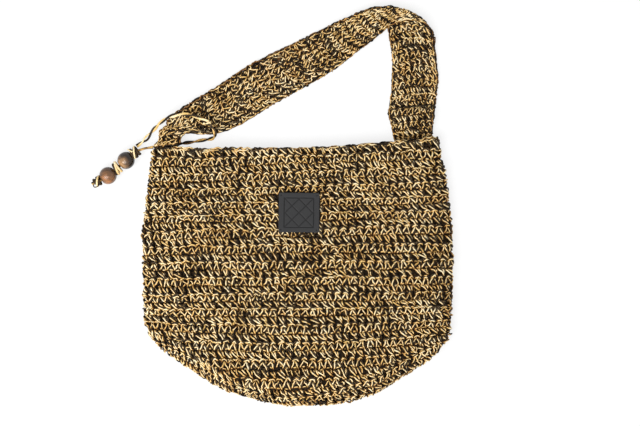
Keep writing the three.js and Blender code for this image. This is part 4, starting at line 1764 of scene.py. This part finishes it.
def patch_layers():
    """The patch's pressed face, its underside, and how much each point is pressed."""
    half = np.array([PATCH_WIDTH / 2, PATCH_HEIGHT / 2])
    u = np.linspace(-1, 1, PATCH_STEPS + 1)
    flat = np.stack(np.meshgrid(u * half[0], u * half[1]), -1)
    corner = np.maximum(np.abs(flat) - (half - PATCH_ROUND), 0)
    reach = np.maximum(np.hypot(corner[..., 0], corner[..., 1]), 1e-9)[..., None]
    rounded = np.sign(flat) * (half - PATCH_ROUND + corner * (PATCH_ROUND / reach))
    flat = np.where(reach > PATCH_ROUND, rounded, flat)
    flat_x, flat_y = flat[..., 0], flat[..., 1]

    from_middle = np.abs(flat).max(-1)
    cut = pressed_line(from_middle - FRAME_HALF)
    for slope in (1, -1):
        across = (flat_x + slope * flat_y) / math.sqrt(2)
        near = across - np.round(across / LATTICE_STEP) * LATTICE_STEP
        lattice = np.where(from_middle < FRAME_HALF, pressed_line(near) * LATTICE_SHARE, 0)
        cut = np.maximum(cut, lattice)
    from_hole = np.abs(flat) - (half - HOLE_INSET)
    from_hole = np.hypot(from_hole[..., 0], from_hole[..., 1])
    hole = np.clip(HOLE_FLARE - from_hole / (HOLE_SIZE / 2), 0, 1)
    edge = (half - np.abs(flat)).min(-1)
    shoulder = np.clip(1 - edge / SHOULDER_WIDTH, 0, 1) ** 2 * SHOULDER_DROP
    depth = cut * LINE_DEPTH + hole * HOLE_DEPTH + shoulder

    x = PATCH_CENTRE[0] + flat_x * math.cos(PATCH_TURN) - flat_y * math.sin(PATCH_TURN)
    y = PATCH_CENTRE[1] + flat_x * math.sin(PATCH_TURN) + flat_y * math.cos(PATCH_TURN)
    low = front_height(x, y) + PATCH_LIFT
    top = np.stack([x, y, low + PATCH_THICKNESS - depth], -1)
    return top, np.stack([x, y, low], -1), np.maximum(cut, hole)


def patch_material():
    """Charcoal rubber with a fine matt grain, with painted shade darkening its pressed lines and
    holes.
    """
    made, graph, shader = material("patch_rubber", Specular_IOR_Level=0.2)
    place = graph.here()
    cloud = graph.noise(place, RUBBER_CLOUDS, 3.0)
    grain = graph.noise(place, RUBBER_GRAIN)
    light = cloud * BY_RUBBER_CLOUD + grain * BY_RUBBER_GRAIN - RUBBER_TAKEN_OFF
    face = graph.mixed(light.clamped(), *RUBBER_TONES)
    # Painted shade in the pressed lines and holes.
    pressed = (graph.attribute("cut") * PRESSED_SHADE_DARKER).clamped()
    colour = graph.mixed(pressed, face, PRESSED_SHADE_TONE)
    bump = graph.bump(grain, RUBBER_BUMP, RUBBER_DEPTH)
    rough = RUBBER_SHINE + cloud * RUBBER_DULLER
    join(graph, shader, Base_Color=colour, Roughness=rough, Normal=bump)
    return made


patch_top, patch_bottom, patch_cut = patch_layers()
patch = shell("patch_square", patch_top, patch_bottom, [patch_material()])
# How far each point is pressed in, which the rubber's material turns into painted shade.
pressed = np.append(patch_cut.ravel(), np.zeros(patch_cut.size))
keep_on_points(patch.data, "cut", "FLOAT", pressed)
tidy_mesh(patch, gap=1e-7)
fit(patch, "patch")

# The bag's cloth is fixed to the part, and the bag's solid hidden.
fit(bag_cloth, "bag_body")
bag_pieces + [patch]

for helper in [*paths["fine"], *paths["plain"], bag_laid, strap_laid]:
    bpy.data.objects.remove(helper)

# ---------------------------------------------------------------- table and light
# A plain white table under soft, even light that comes a little more from the near side.
# Far from the bag the table shows as plain white, and near it most of its shadow is lost
# in that white, as under a wide soft light.
FLOOR_SIZE = 12.0
FLOOR_LEVEL = -0.0004
PAPER = ((0.925, 0.925, 0.93), (0.945, 0.945, 0.95))
PAPER_CLOUDS = 6.0
SHADOW_LOST = 0.78
PLAIN_FROM, PLAIN_OVER = 0.35, 0.5
WHITE = (1, 1, 1, 1)
# A lamp's name, place, aim, size and power.
LAMPS = (
    ("near_lamp", (-0.6, -0.8, 1.65), (0, -0.02, 0), 1.5, 41.0),
    ("left_lamp", (-1.2, -0.75, 1.2), (0, 0, 0), 0.4, 4.0),
)
# How bright the room is for the bag, where the camera sees it as plain white.
ROOM = 0.45


def seen_directly(graph):
    """1 for what the camera sees, straight or in a polished or clear surface."""
    path = graph.add("ShaderNodeLightPath")
    rays = ("Is Camera Ray", "Is Glossy Ray", "Is Transmission Ray")
    camera_ray, glossy, through_glass = (Number(graph, path.outputs[ray]) for ray in rays)
    return (camera_ray + glossy + through_glass).clamped()


def paper_material():
    """White paper, which turns into plain white light away from the bag."""
    made, graph, shader = material("floor_paper", Roughness=0.9, Specular_IOR_Level=0.0)
    place = graph.here()
    join(graph, shader, Base_Color=graph.mixed(graph.noise(place, PAPER_CLOUDS), *PAPER))
    away = Number(graph, graph.vector("LENGTH", place))
    plain = ((away - PLAIN_FROM) / PLAIN_OVER).clamped()
    share = seen_directly(graph) * (plain * (1 - SHADOW_LOST) + SHADOW_LOST)
    white = graph.add("ShaderNodeEmission", {"Strength": 1.0, "Color": WHITE})
    ends = {0: share, 1: shader.outputs[0], 2: white.outputs[0]}
    both = graph.add("ShaderNodeMixShader", ends)
    finish = made.node_tree.nodes["Material Output"]
    made.node_tree.links.new(both.outputs[0], finish.inputs["Surface"])
    return made


half = FLOOR_SIZE / 2
corners = [(-half, -half), (half, -half), (half, half), (-half, half)]
floor_mesh = bpy.data.meshes.new("floor")
floor_mesh.from_pydata([(x, y, FLOOR_LEVEL) for x, y in corners], [], [(0, 1, 2, 3)])
floor_mesh.materials.append(paper_material())
put_in_scene("floor", floor_mesh)

for name, place, aim, size, power in LAMPS:
    data = bpy.data.lights.new(name, "AREA")
    data.shape = "SQUARE"
    data.size = size
    data.energy = power
    lamp = put_in_scene(name, data)
    lamp.location = place
    lamp.rotation_euler = (Vector(aim) - Vector(place)).to_track_quat("-Z", "Y").to_euler()

world = bpy.data.worlds.new("world")
scene.world = world
world.use_nodes = True
sky = Graph(world.node_tree)
background = world.node_tree.nodes["Background"]
background.inputs["Color"].default_value = WHITE
strength = seen_directly(sky) * (1 - ROOM) + ROOM
world.node_tree.links.new(strength.socket, background.inputs["Strength"])

scene.view_settings.view_transform = "Standard"
